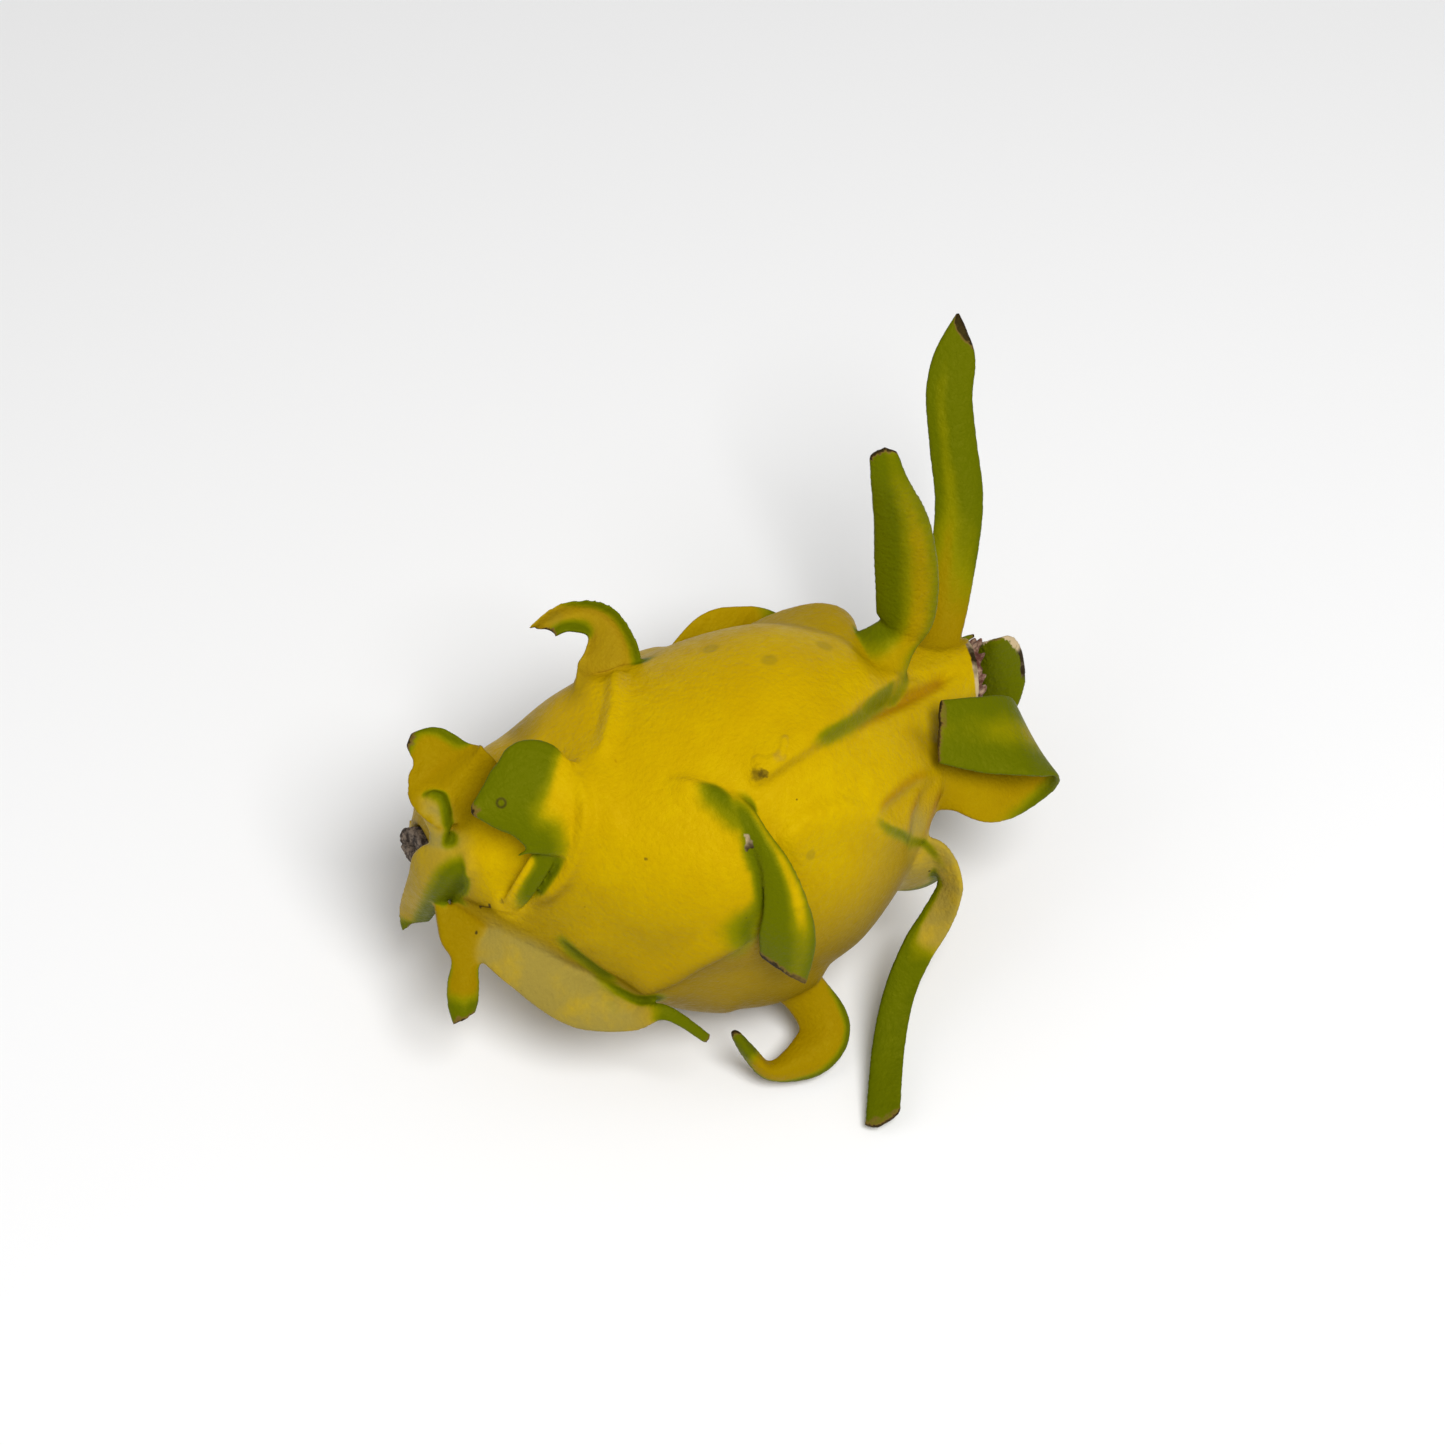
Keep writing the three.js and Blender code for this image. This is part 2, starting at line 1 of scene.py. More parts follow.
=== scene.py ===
# %% [markdown]
# # A whole yellow dragon fruit
# This notebook dresses the plain solids of a dragon fruit: a plump waxy body, scale leaves (bracts)
# that curl away from it, the woody end of the cut stem, and the dried flower in the navel.
# All lengths are in millimetres while a piece is made. Its mesh is scaled to metres at the end, so
# every object stays at the origin, unturned and unscaled.

import json
import math
from collections import namedtuple

import bmesh
import bpy
import numpy as np
from mathutils import Matrix, Quaternion, Vector, kdtree, noise

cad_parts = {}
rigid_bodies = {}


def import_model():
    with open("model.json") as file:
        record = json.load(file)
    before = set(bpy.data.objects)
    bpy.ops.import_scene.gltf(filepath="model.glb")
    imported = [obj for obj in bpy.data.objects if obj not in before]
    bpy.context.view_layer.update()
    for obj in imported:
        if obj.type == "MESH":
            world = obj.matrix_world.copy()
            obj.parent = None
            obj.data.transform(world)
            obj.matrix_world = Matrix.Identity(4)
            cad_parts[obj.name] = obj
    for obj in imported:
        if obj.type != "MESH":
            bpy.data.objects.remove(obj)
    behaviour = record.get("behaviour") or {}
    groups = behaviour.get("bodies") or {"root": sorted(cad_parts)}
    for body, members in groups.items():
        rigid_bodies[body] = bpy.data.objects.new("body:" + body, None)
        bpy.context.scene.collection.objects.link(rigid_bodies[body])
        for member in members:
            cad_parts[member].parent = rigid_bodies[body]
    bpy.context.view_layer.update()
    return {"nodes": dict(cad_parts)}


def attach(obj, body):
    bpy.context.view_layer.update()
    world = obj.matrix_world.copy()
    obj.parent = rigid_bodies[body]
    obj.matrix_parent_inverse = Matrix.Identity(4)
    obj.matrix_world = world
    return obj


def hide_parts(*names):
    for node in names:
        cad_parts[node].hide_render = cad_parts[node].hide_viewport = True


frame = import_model()
print("nodes:", sorted(frame["nodes"]))

# %% [markdown]
# ## The fruit's own co-ordinates
# Botanists describe a place on a fruit by how far it is from the stem and by its angle round the
# axis. Two numbers do the same here: `along`, in mm from the stem end, and `around`, in degrees from
# the top. A bowed core line carries the skin, so the body bends a little as real ones do.

# %% Core line and skin
MM = 0.001
LENGTH = 124.0
STEM_X = -62.6
CORE_HEIGHT = 37.6
BOW_BACK = 11.5
BOW_UP = 6.0
SKIN = np.array([
    (0, 6.5), (3, 12), (10, 17.4), (20, 22.8), (35, 30.8), (50, 35.5), (65, 36.6),
    (80, 33.4), (92, 26.6), (102, 19.6), (112, 13.2), (120, 9), (124, 7.8),
])


def smooth(x):
    """0 below 0, 1 above 1, and a soft S between them; works on numbers and arrays."""
    x = np.clip(x, 0.0, 1.0)
    return x * x * (3 - 2 * x)


def rise(x, start, over):
    """The same S, from 0 at start to 1 when x is `over` more."""
    return smooth((x - start) / over)


def span(x, start, end, soft):
    """1 between start and end, and falling to 0 over the last `soft` before either."""
    return smooth((x - start) / soft) * smooth((end - x) / soft)


def between(rows, t):
    """A Catmull-Rom curve through rows, read at t counted in rows."""
    last = len(rows) - 1
    i = min(int(t), last - 1)
    f = t - i
    a, b, c, d = rows[max(i - 1, 0)], rows[i], rows[i + 1], rows[min(i + 2, last)]
    return b + 0.5 * f * (c - a + f * (2 * a - 5 * b + 4 * c - d + f * (3 * (b - c) + d - a)))


def skin_radius(along):
    at = min(max(along, 0.0), LENGTH)
    i = min(max(int(np.searchsorted(SKIN[:, 0], at)) - 1, 0), len(SKIN) - 2)
    start, end = SKIN[i, 0], SKIN[i + 1, 0]
    return between(SKIN, i + (at - start) / (end - start))[1]


def core_point(along):
    bend = (along / (LENGTH / 2) - 1) ** 2
    return Vector((along + STEM_X, BOW_BACK * bend, CORE_HEIGHT + BOW_UP * bend))


def outward(around):
    turn = math.radians(around)
    return Vector((0, -math.sin(turn), math.cos(turn)))


def sideways(around):
    turn = math.radians(around)
    return Vector((0, -math.cos(turn), -math.sin(turn)))


print("thickest:", round(2 * max(skin_radius(a) for a in range(int(LENGTH))), 1), "mm")

# %% [markdown]
# ## The scale leaves
# Each leaf grows from a root on the skin. Below the root the skin swells into a pad: `reach` long,
# `breadth` to each side, narrowing to `mouth` at the root, `height` high. The blade follows rows of
# (ahead, out, sideways, half width, twist, cup), measured from the root. Such a table is quicker to
# shape than a sculpt, and the same rows can be read as finely as a piece needs. `slant` and `point`
# draw the tip out, to one side or in its middle.

# %% Table of leaves
Leaf = namedtuple("Leaf", "along around slant point pad rows")
SEEN_LEAVES = {
    "tall_strap": Leaf(110, -50, 0, 0, (26, 13, 7, 1.5), [
        (-12, -1.5, 0, 12, 0, 4), (-4, -1, 0, 9, 10, 3), (4, -1, 0, 6.5, 40, 2), (8.8, 2.5, 0, 5, 70, 1),
        (14, 11.5, 0, 5, 77, 1), (20, 25.6, 0, 5.2, 77, 1), (22.3, 38, 0, 5.2, 77, 1),
        (24.3, 48.3, 0, 5, 77, 0.5), (27.9, 56.3, 0, 4.4, 76, 0), (31, 64.3, -0.2, 0.4, 76, 0),
    ]),
    "broad_strap": Leaf(94, -17, 0, 1.3, (44, 27, 15, 3.5), [
        (-32, -1.5, 0, 27, 0, 10.5), (-18, 0, -1, 25, 5, 9.5), (-8, 1.5, -2, 21, 9, 6.5),
        (0.1, 0.9, -1.3, 16.9, 12, 3.2), (4.3, -1.6, -0.3, 9.7, 14, 2.5), (11, 0.9, -1.6, 5.1, 45, 1.5),
        (13, 5.4, -0.8, 6.1, 58, 1.5), (14, 17.1, -0.1, 6.6, 60, 1), (13.6, 30, 1.1, 5.8, 62, 1),
        (11.6, 41.8, 1.9, 3.9, 66, 0.5), (11.3, 48.2, 0.6, 2.9, 70, 0),
    ]),
    "far_hump": Leaf(60, -76, 0, 2, (30, 18, 12, 2.5), [
        (2, -6.9, -13.6, 8, -70, 3), (7.9, -4, -10.2, 8.5, -67, 3), (13.2, -1.3, -8, 9.3, -66, 2),
        (17.6, 1, -6.9, 9.3, -60, 1), (22.6, 1.9, -7.3, 7.6, -51, 0.5), (28.1, 1.9, -7.5, 5.6, -56, 0.3),
        (31.9, 0.4, -5, 2, -63, 0),
    ]),
    "hook": Leaf(40, -45, -2, -2, (20, 14, 8, 1.2), [
        (-14, -5, 0, 8, 0, 3), (-5, -3.5, 0, 8, -10, 3), (-0.2, -2.2, -0.3, 7.9, -40, 2),
        (5.5, 1, 0, 7.2, -75, 1), (8.1, 6.2, -0.1, 5.8, -80, 1), (7, 12.2, 0, 3.8, -62, 1),
        (1, 14.4, 0, 2.8, -60, 1), (-4.4, 13.2, 0, 2.2, -70, 1),
    ]),
    "triangle": Leaf(34, 16, 0, 0, (20, 15, 14, 2.5), [
        (1.1, -3, -0.2, 6, -26, 2), (-2.8, -0.9, -0.3, 8.5, -25, 2.5), (-6.4, 0.3, 0.6, 9.2, -24, 2.2),
        (-10, 1.3, -1.3, 10.1, -24, 2), (-13.9, 1.7, -4.1, 11.6, -25, 1.8),
        (-17.4, 1.7, -4.7, 8.2, -25, 1.4), (-21.1, 1.3, -4.9, 4.9, -24, 0.8),
        (-25.1, 1.1, -5.2, 0.9, -23, 0),
    ]),
    "triangle_fold": Leaf(30, 45, 0, 0, (10, 10, 8, 1), [
        (-7.4, -5.1, -7.8, 2, 16, 0), (-10.1, -4, -5.1, 2.3, 15, 0), (-13.5, -5.8, -1.4, 2.4, 12, 0),
        (-16.3, -9, 2.1, 2.2, 11, 0), (-18.2, -15.2, 5, 1.5, 10, 0),
    ]),
    "stem_upper": Leaf(12, -20, 0, 0, (9, 14, 12, 1), [
        (1.6, -1.9, 5.8, 6, -49, -1), (-0.4, 0.8, 4.6, 8, -50, -1.5), (-3.2, 3.3, 4.1, 9.4, -43, -1.5),
        (-4.2, 5, 0.1, 7.8, -39, -1.5), (-5.6, 8.4, -2.4, 5.2, -35, -1), (-8.8, 10.1, -5, 1.5, -36, 0),
    ]),
    "stem_lower": Leaf(8, 50, 2, -1, (7, 9, 7, 1), [
        (-1.5, -5.3, -5.1, 2.7, 32, 0), (-4, -2.3, -3.6, 4.2, 25, 1), (-7.6, -4.2, -0.8, 5.7, 16, 1.8),
        (-10, -9.7, 4.4, 4.8, 14, 1.8), (-11.8, -21.9, 12.3, 3.5, 7, 0.5), (-12.3, -24, 15.4, 2.6, 7, 0),
    ]),
    "stem_side": Leaf(6, 25, 0, 1, (5, 5, 3, 0.5), [
        (-3.9, -2.5, 1.2, 1.8, -18, 0), (-2.9, 1.2, -1.7, 2.1, -19, 0.6), (-2.8, 4, -5.8, 3.1, -17, 1),
        (-1.7, 4.7, -8.8, 2.1, -17, 0.4),
    ]),
    "stem_under": Leaf(14, 120, 1, 0, (12, 10, 6, 1.5), [
        (-8, -9.5, -3, 7.5, 90, 0), (-10.8, -4, -3, 5.4, 90, 0), (-12, 0, -3, 3, 90, 0),
        (-13.9, 4.7, -3, 3.4, 90, 1), (-15, 8.2, -2.4, 3.3, 90, 1), (-15.8, 11.6, -2, 2.4, 90, 1),
    ]),
    "keel": Leaf(26, 108, 0, 0, (20, 12, 9, 2), [
        (-15.9, -14.1, -1.1, 7.5, -81, 0), (-11.3, -6.8, -1.3, 8, -81, 1), (-7.7, -0.3, 0.4, 7.4, -81, 2),
        (-3.3, 6.7, 0, 6.1, -78, 2), (4, 12.3, -0.3, 3.2, -80, 1), (10.4, 14.6, -3.4, 1.6, -76, 0),
        (17.4, 21.5, 1.5, 1.1, -75, 0),
    ]),
    "curl": Leaf(70, 128, 0, 1, (48, 24, 14, 3.6), [
        (-12, -5.5, -1, 9, 0, 2), (-5.5, -1, -1, 6, -60, 0), (-1.4, 5.5, 0, 5, -70, 1),
        (0.2, 13, -1, 5.4, -78, 1.5), (-5, 17.2, -2.5, 4.8, -94, 2), (-13.3, 17.9, -2.9, 2.2, -106, 2),
        (-17.1, 12.6, -4.1, 1.7, -120, 2), (-19.3, 7.3, -5.5, 1.1, -128, 0),
    ]),
    "centre_strap": Leaf(58, 54, -3, 0, (42, 27, 19, 2.8), [
        (-4.7, -11, -19, 1.9, -8, 0), (-1.8, -6.5, -17.6, 1.5, -11, 0), (1.3, -0.9, -14.4, 1.3, -22, 0.5),
        (2.3, 2.4, -9.3, 2, -31, 0.5), (3.5, 4.7, -3, 3.1, -35, 0.8), (3.6, 5.2, 4.7, 4.5, -35, 0.8),
        (2.6, 4.3, 12.3, 5.8, -27, 0.8), (0.9, 0.6, 20.4, 5.3, -18, 0.5),
    ]),
    "right_strap": Leaf(98, 100, 1.5, 1.5, (44, 26, 13, 2), [
        (-30, -1.5, 0, 28, 0, 12), (-18, 0.5, 1, 23, 0, 9), (-9, 3.2, 2, 16, 0, 5),
        (-3, 5.6, 2.5, 11, -6, 2.4), (1.5, 5, -1, 5, -20, 0.5), (3.8, 8.5, 1, 3.8, -10, 0),
        (3.6, 11.5, 4.5, 3.6, 0, 0), (0, 15, 9.3, 3.6, -22, 0), (-5.5, 18.8, 13.5, 3.6, -40, 0),
        (-11.2, 24.6, 18.5, 3.4, -40, 0), (-16.8, 33.5, 22.8, 3.5, -32, 0),
        (-23.6, 47.5, 24.4, 3.8, -18, 0),
    ]),
    "folded_strap": Leaf(104, 80, 0, 0, (40, 24, 12, 2.5), [
        (-20, -2.5, -4, 12, 0, 5), (-9, -0.5, -4, 10.5, 0, 4), (0.1, 0.6, -2.9, 8, -20, 2),
        (5, 1.6, -1.1, 6, -38, 1), (11.3, 3.3, 1.6, 7.4, -43, 0), (18.4, 1, 1.3, 8.5, -53, 0),
        (22.3, 0.7, -3.5, 8.8, -97, 0), (18.5, 1.7, -9.1, 9, -120, 0), (11.3, 1, -12, 8.2, -135, 0),
        (1.8, -1, -15.4, 6.5, -140, 0),
    ]),
    "navel_far": Leaf(116, 175, 1, 1, (12, 8, 5, 1), [
        (0, -2, 4, 6, -90, 0), (6, -0.5, 4, 6, -120, 0), (10.4, -2, 2, 5.8, -125, 0.5),
        (12, -6.6, 1.5, 6.2, -111, 1.5), (12.6, -11, 2, 6, -96, 2.5), (12.8, -16, 3.2, 5, -91, 2.5),
        (12.9, -18.6, 3.6, 2.6, -91, 1.5),
    ]),
}

# slant, point, pad and rows
LEAF_PATTERNS = {
    "tongue": (0, 1, (26, 17, 10, 2.5), [
        (-13, -3, 0, 12, 0, 4), (-4, -1, 0, 9.5, 0, 2.5), (4, 1.5, 0, 7, 6, 1.5), (11, 4.5, 0, 5, 12, 1),
        (18, 7, 0, 3.6, 18, 0.5), (25, 8, 0, 1.2, 18, 0),
    ]),
    "strap": (1.5, -1, (30, 19, 9, 2.5), [
        (-14, -3, 0, 13, 0, 5), (-5, -1, 0, 9.5, 0, 2.5), (2, 2, 0, 6.3, 10, 1), (7, 8, 0, 4.5, 20, 1),
        (12, 16, 0, 4, 30, 1), (19, 23, 0, 3.8, 40, 0.5), (27, 27, 0, 3.6, 50, 0), (35, 28, 0, 3, 60, 0),
    ]),
    "claw": (1, 1, (26, 17, 8, 2.5), [
        (-13, -3, 0, 12, 0, 4), (-4, -1, 0, 9, 0, 2), (2.5, 3, 0, 5.8, 0, 1), (5, 9, 0, 4.4, 0, 1),
        (2.5, 14.5, 0, 4, 0, 1), (-4, 17.5, 0, 3.6, 10, 1), (-11, 16.5, 0, 3, 20, 0.5),
        (-16, 13, 0, 1.2, 20, 0),
    ]),
}

# (along, around, pattern, size, lean)
PLACED_LEAVES = [
    (8, -135, "tongue", 0.55, 2), (11, 178, "tongue", 0.6, -3), (18, 150, "tongue", 0.6, 3),
    (30, -128, "claw", 0.85, 4), (34, -172, "tongue", 0.6, 2), (50, -112, "tongue", 0.8, 4),
    (54, -118, "strap", 0.9, -4), (82, -118, "strap", 1, -6), (86, -158, "tongue", 0.9, 5),
    (99, -108, "claw", 0.65, -4), (100, -176, "tongue", 0.75, -4), (107, -130, "strap", 0.8, 2),
]

# (along, around, pad) where a leaf has dropped off. The fruit rests on the first.
BARE_PADS = [(72, 180, 46, 20, 16, 2.2), (50, 122, 30, 18, 14, 3.2)]


def place_leaf(along, around, pattern, size, lean):
    """One leaf of a pattern, sized, and leaning sideways along its length."""
    slant, point, pad, plain_rows = LEAF_PATTERNS[pattern]
    rows = []
    for n, (ahead, out, side, half, twist, cup) in enumerate(plain_rows):
        share = n / (len(plain_rows) - 1)
        rows.append((ahead * size, out * size, side + lean * share * share, half * size,
                     twist * math.copysign(1, lean), cup * size))
    return Leaf(along, around, slant, point, tuple(size * n for n in pad), rows)


LEAVES = dict(SEEN_LEAVES)
for number, place in enumerate(PLACED_LEAVES, 1):
    LEAVES[f"placed_{number}"] = place_leaf(*place)
LEAF_NAMES = list(LEAVES)
print(len(LEAVES), "leaves")

# %% [markdown]
# ## Colour plan of a leaf
# A bract is yellow like the body where it leaves it and turns green towards its tip and along its
# margins, often with a paler stripe down the middle. `middle` says where along the leaf its middle
# starts to turn and where it is fully green. `low` and `high` are its two margins: how green, how
# wide a share of the half width, from where and up to where along the leaf, 2 being past its tip.
# `stripe` is (strength, place, width). `inner` is how much of the green the inner face keeps and
# `green` how strong all of it is. `painted_shade` is how much painted golden shade the leaf gets, and
# `pale` how bleached, from where and up to where. `dry` is how many millimetres of its tip are dried,
# and how far that leans to the high margin. `roll` is how far each margin curls towards the inner
# face, and `axil` how far along the leaf the soft filling of its axil goes.

# %% Leaf tints
BARE, EDGED = (0, 0.3, 0, 2), (0.8, 0.4, 0.25, 2)
PLAIN = dict(low=BARE, high=BARE, stripe=(0.3, 0, 0.3), inner=1, green=1, painted_shade=0, pale=(0, 0, 2),
             roll=(0, 0), axil=0.15)
PLACED = dict(middle=(0.5, 0.95), low=EDGED, high=EDGED, inner=0.7, painted_shade=0.3, dry=(1.5, 0))
TINTS = {
    "tall_strap": dict(
        middle=(0.24, 0.68), low=(0.3, 0.3, 0.5, 2), high=(0.95, 0.5, 0.36, 2), stripe=(0.5, -0.35, 0.3),
        green=0.98, painted_shade=0.8, dry=(4.5, 0.9)),
    "broad_strap": dict(
        middle=(0.3, 0.5), low=(1.0, 0.55, 0.3, 2), high=(0.5, 0.2, 0.25, 2), stripe=(0.78, 0.46, 0.6),
        green=0.95, painted_shade=0.5, dry=(1.2, 0)),
    "far_hump": dict(middle=(0.7, 1.0), high=(0.4, 0.2, 0.7, 2), painted_shade=0.6, dry=(0.8, 0)),
    "hook": dict(
        middle=(0.95, 1.15), low=(1.1, 0.35, 0.2, 0.9), high=(1.1, 1.6, 0.66, 2), painted_shade=0.6,
        pale=(0.1, 0, 2), dry=(0.8, 0), roll=(2.2, 0), axil=0.46),
    "triangle": dict(middle=(0.42, 0.56), low=(1, 1.3, 0.24, 2), stripe=(0.2, -0.15, 0.25), dry=(0.9, 0)),
    "triangle_fold": dict(middle=(1.0, 0.5), stripe=(1, 0.75, 0.6), dry=(-3, 0)),
    "stem_upper": dict(middle=(0.86, 1.0), high=(1, 0.6, 0.56, 2), inner=0.9, painted_shade=0.7, dry=(0.9, 0)),
    "stem_lower": dict(
        middle=(0.78, 0.95), low=(1.35, 1.5, 0.1, 2), painted_shade=0.4, pale=(0.35, 0, 2), dry=(0.4, 0)),
    "stem_side": dict(
        middle=(0.7, 1), high=(1, 0.9, 0.1, 2), stripe=(1, -0.7, 0.9), pale=(0.95, -0.1, 2), dry=(-3, 0)),
    "stem_under": dict(
        middle=(0.6, 0.92), low=(0.7, 0.35, 0.35, 2), high=(0.7, 0.35, 0.35, 2), painted_shade=0.8, dry=(0.9, 0)),
    "keel": dict(
        middle=(0.72, 0.86), low=(1.1, 0.45, 0.12, 2), painted_shade=0.2, pale=(0.8, -0.3, 0.88), dry=(0.5, 0)),
    "curl": dict(middle=(0.78, 0.9), low=(1.1, 0.4, 0.25, 2), green=1.15, painted_shade=0.72, dry=(1.2, 0)),
    "centre_strap": dict(
        middle=(0.16, 0.32), low=(1, 0.25, 0.72, 2), high=(1.05, 0.3, 0.3, 2), stripe=(0.85, -0.5, 0.42),
        green=0.93, dry=(1.5, 0.3), axil=0.05),
    "right_strap": dict(
        middle=(0.66, 0.8), low=(0.3, 0.15, 0.5, 2), high=(1.15, 0.6, 0.18, 2), inner=0.9, green=1.15,
        pale=(0.75, 0, 2), dry=(0.6, 0)),
    "folded_strap": dict(
        middle=(0.6, 0.69), high=(1.15, 0.5, 0.4, 2), stripe=(0.7, -0.1, 0.42), green=0.88, painted_shade=0.6,
        dry=(0.5, 0)),
    "navel_far": dict(middle=(0.1, 0.4), stripe=(0, 0, 0.3), dry=(0, 0)),
}
TINTS = {name: {**PLAIN, **TINTS.get(name, PLACED)} for name in LEAF_NAMES}

# Margins that are torn and papery: (leaf, margin, from and up to where along it, width in mm)
TORN = [("centre_strap", 1, 0.28, 0.46, 0.28), ("navel_far", 1, 0.55, 1.1, 1.3),
        ("navel_far", -1, 0.8, 1.1, 1.5)]
print("tinted by hand:", sum(name in SEEN_LEAVES for name in TINTS))

# %% [markdown]
# ## The body
# A turned shape is the honest start for a fruit: real ones are nearly round in section. A UV sphere
# gives closed poles and even rings. Each ring is slid to its place on a profile that goes from the
# floor of the stem's socket, out over the skin, and into the cup of the navel. Then the skin is
# raised where the pads swell.

# %% Relief of the skin
PADS = [(leaf.along, leaf.around, *leaf.pad) for leaf in LEAVES.values()] + BARE_PADS
PAD_FRONT, PAD_CROWN, PAD_EDGE, END_FADE = 6.0, 0.2, 1.0, 6.0
PAD_SWELL, PAD_SPREAD = 1.15, 1.6


def pad_height(along, around, pad):
    """Height of one leaf's pad: it fades out towards the stem and drops off ahead of the root."""
    root_along, root_around, reach, breadth, mouth, height = pad
    ahead = along - root_along
    turn = np.radians((around - root_around + 180) % 360 - 180)
    back = np.clip(-ahead / reach, 0, 1)
    swell = np.where(ahead < 0, smooth(PAD_SWELL * (1 - back)), 1 - smooth(ahead / PAD_FRONT))
    half = mouth + (breadth - mouth) * np.sin(0.5 * np.pi * np.minimum(1, PAD_SPREAD * back))
    side = np.abs(turn) * skin_radius(root_along) / half
    return height * swell * (1 - rise(side, PAD_CROWN, PAD_EDGE))


def relief(along, around):
    """Pads that overlap flow together: this sum of cubes is a soft maximum."""
    heights = sum(pad_height(along, around, pad) ** 3 for pad in PADS)
    return span(along, 0, LENGTH, END_FADE) * np.cbrt(heights)


print(len(PADS), "pads")

# %% [markdown]
# ## Folds in the skin
# Scales that grow under one another leave a step in the skin, keen on one side and soft on the other,
# and a leaf that bends away pulls a ridge out of it. Each is a short line of (along, around) places,
# its height, the width of its soft side and of its keen side, and the side that stands up: 1 towards
# a growing angle, -1 the other way, 0 for a ridge that is alike on both.

# %% Table of folds
FOLDS = {
    "broad_root": ([
        (61, 25.4), (64.2, 24.4), (70.2, 22.1), (76.9, 19.9), (84.3, 17.3), (90.5, 14.2), (98.3, 5.9),
        (107.1, -9)
    ], 2.0, 9, 1.5, -1),
    "right_root": ([
        (62, 45.7), (66, 43.5), (69.1, 41.3), (74.4, 40.2), (81.3, 43.7), (88.4, 55.5), (93.4, 72.9)
    ], 1.5, 10, 3, 1),
    "centre_margin": ([
        (20, 82), (23, 87), (27, 93.5), (33.3, 98.5), (39, 90.4), (43.6, 82.5), (49.9, 75), (55.9, 70)
    ], 2.0, 8, 1.4, -1),
    "centre_top": ([
        (46, 16), (50, 17.5), (53.3, 21.1), (55.1, 23.1), (57.1, 26.7), (58.7, 31.6), (59.1, 38.4),
        (59.1, 43.8)
    ], 1.6, 7, 1.0, 1),
    "crescent": ([
        (29.5, 0), (30.3, 9.1), (29.9, 18.8), (28.7, 25.4), (27.3, 31.3), (25, 40.2), (22.3, 48.9),
        (18.9, 58.4), (15.6, 68.8)
    ], 2.4, 3.4, 3.0, 0),
    "hook_root": ([
        (49, -41.3), (45.5, -25.5), (42.1, -14.2), (38.4, -3.1), (35.8, 3.8)
    ], 1.8, 2.8, 2.8, 0),
    "stem_step": ([(2.6, 84), (4.7, 79), (7, 77.5), (9.6, 77), (12.5, 76), (15.6, 74)], 1.2, 5, 1.2, -1),
    "stem_lip": ([(6, 33.1), (6.9, 38.8), (6.4, 49.7), (4.6, 62.3), (2.6, 83.0)], 1.6, 2.2, 1.6, 0),
    "neck_left": ([(84, 50), (90.2, 49.9), (94.1, 50.6), (97.9, 52.1), (104.5, 60.9)], 1.5, 8, 1.3, -1),
    "neck_middle": ([
        (91, 78), (93.1, 71.7), (94.8, 64), (98, 60), (101.7, 60.7), (106, 64)
    ], 1.0, 4, 1.1, -1),
    "neck_right": ([
        (97, 92), (98.5, 88), (100.5, 82), (103, 76), (107, 72), (111, 70)
    ], 1.6, 4.5, 1.2, -1),
    "neck_upper": ([
        (87, 16), (91.4, 14.1), (98.3, 13), (105.4, 11.3), (111.1, 10), (117, 5)
    ], -2.0, 3.5, 2, 1),
    "neck_far": ([(104, -4), (110, 2), (116, 8), (121, 14)], -1.4, 1.8, 1.8, 0),
}
FOLD_FADE = 5.0

# (along, around, radius, height) of rounder swellings
SWELLINGS = [(33, 106, 9, 3.3), (41.5, -34, 6, 2.2)]

RADIUS_STEP = 0.5
RADIUS_TABLE = np.array([(a, skin_radius(a)) for a in np.arange(0, LENGTH + RADIUS_STEP, RADIUS_STEP)])


def unrolled(along, around):
    """Places on the skin as flat x, y in mm."""
    radius = np.interp(along, RADIUS_TABLE[:, 0], RADIUS_TABLE[:, 1])
    return np.stack([along, np.radians(around) * radius], axis=-1)


def from_line(along, around, line):
    """Signed distance of skin places from a line, how far along it they are, and its length."""
    places = unrolled(along, around)
    points = unrolled(*np.array(line, dtype=float).T)
    best, ran, run = np.full(len(places), 1e9), np.zeros(len(places)), 0.0
    for start, end in zip(points, points[1:]):
        step = end - start
        length = np.hypot(*step)
        share = ((places - start) @ step / length ** 2).clip(0, 1)
        offset = places - start - share[:, None] * step
        side = np.sign(step[0] * offset[:, 1] - step[1] * offset[:, 0])
        distance = np.hypot(*offset.T)
        nearer = distance < np.abs(best)
        best = np.where(nearer, side * distance, best)
        ran = np.where(nearer, run + share * length, ran)
        run += length
    return best, ran, run


def fold_height(along, around, line, height, soft, keen, side):
    """Height of one fold: a step where one side stands up, a ridge where neither does."""
    distance, ran, length = from_line(along, around, line)
    distance = distance * side if side else np.abs(distance)
    shape = np.where(distance < 0, smooth(1 + distance / keen), 1 - smooth(distance / soft))
    return height * shape * span(ran, 0, length, FOLD_FADE)


def folds(along, around):
    total = sum(fold_height(along, around, *fold) for fold in FOLDS.values())
    for swell_along, swell_around, radius, height in SWELLINGS:
        offset = unrolled(along, around) - unrolled(swell_along, swell_around)
        total = total + height * np.exp(-(offset ** 2).sum(axis=-1) / radius ** 2)
    return total


print(len(FOLDS), "folds")

# %% Turned pieces
SOCKET_RADIUS, SOCKET_DEPTH = 5.0, 3.0
NAVEL_DEPTH, NAVEL_WAIST = 12.0, 6.0
BODY_RINGS, BODY_ROUND = 270, 260
RIM_TILT, RIM_HIGH, RIM_FROM = 3.8, -50, 106
CUT_TILT, CUT_LOW, CUT_FADE = 1.8, 33, 3.5
SKIN_TOLERANCE = 0.05


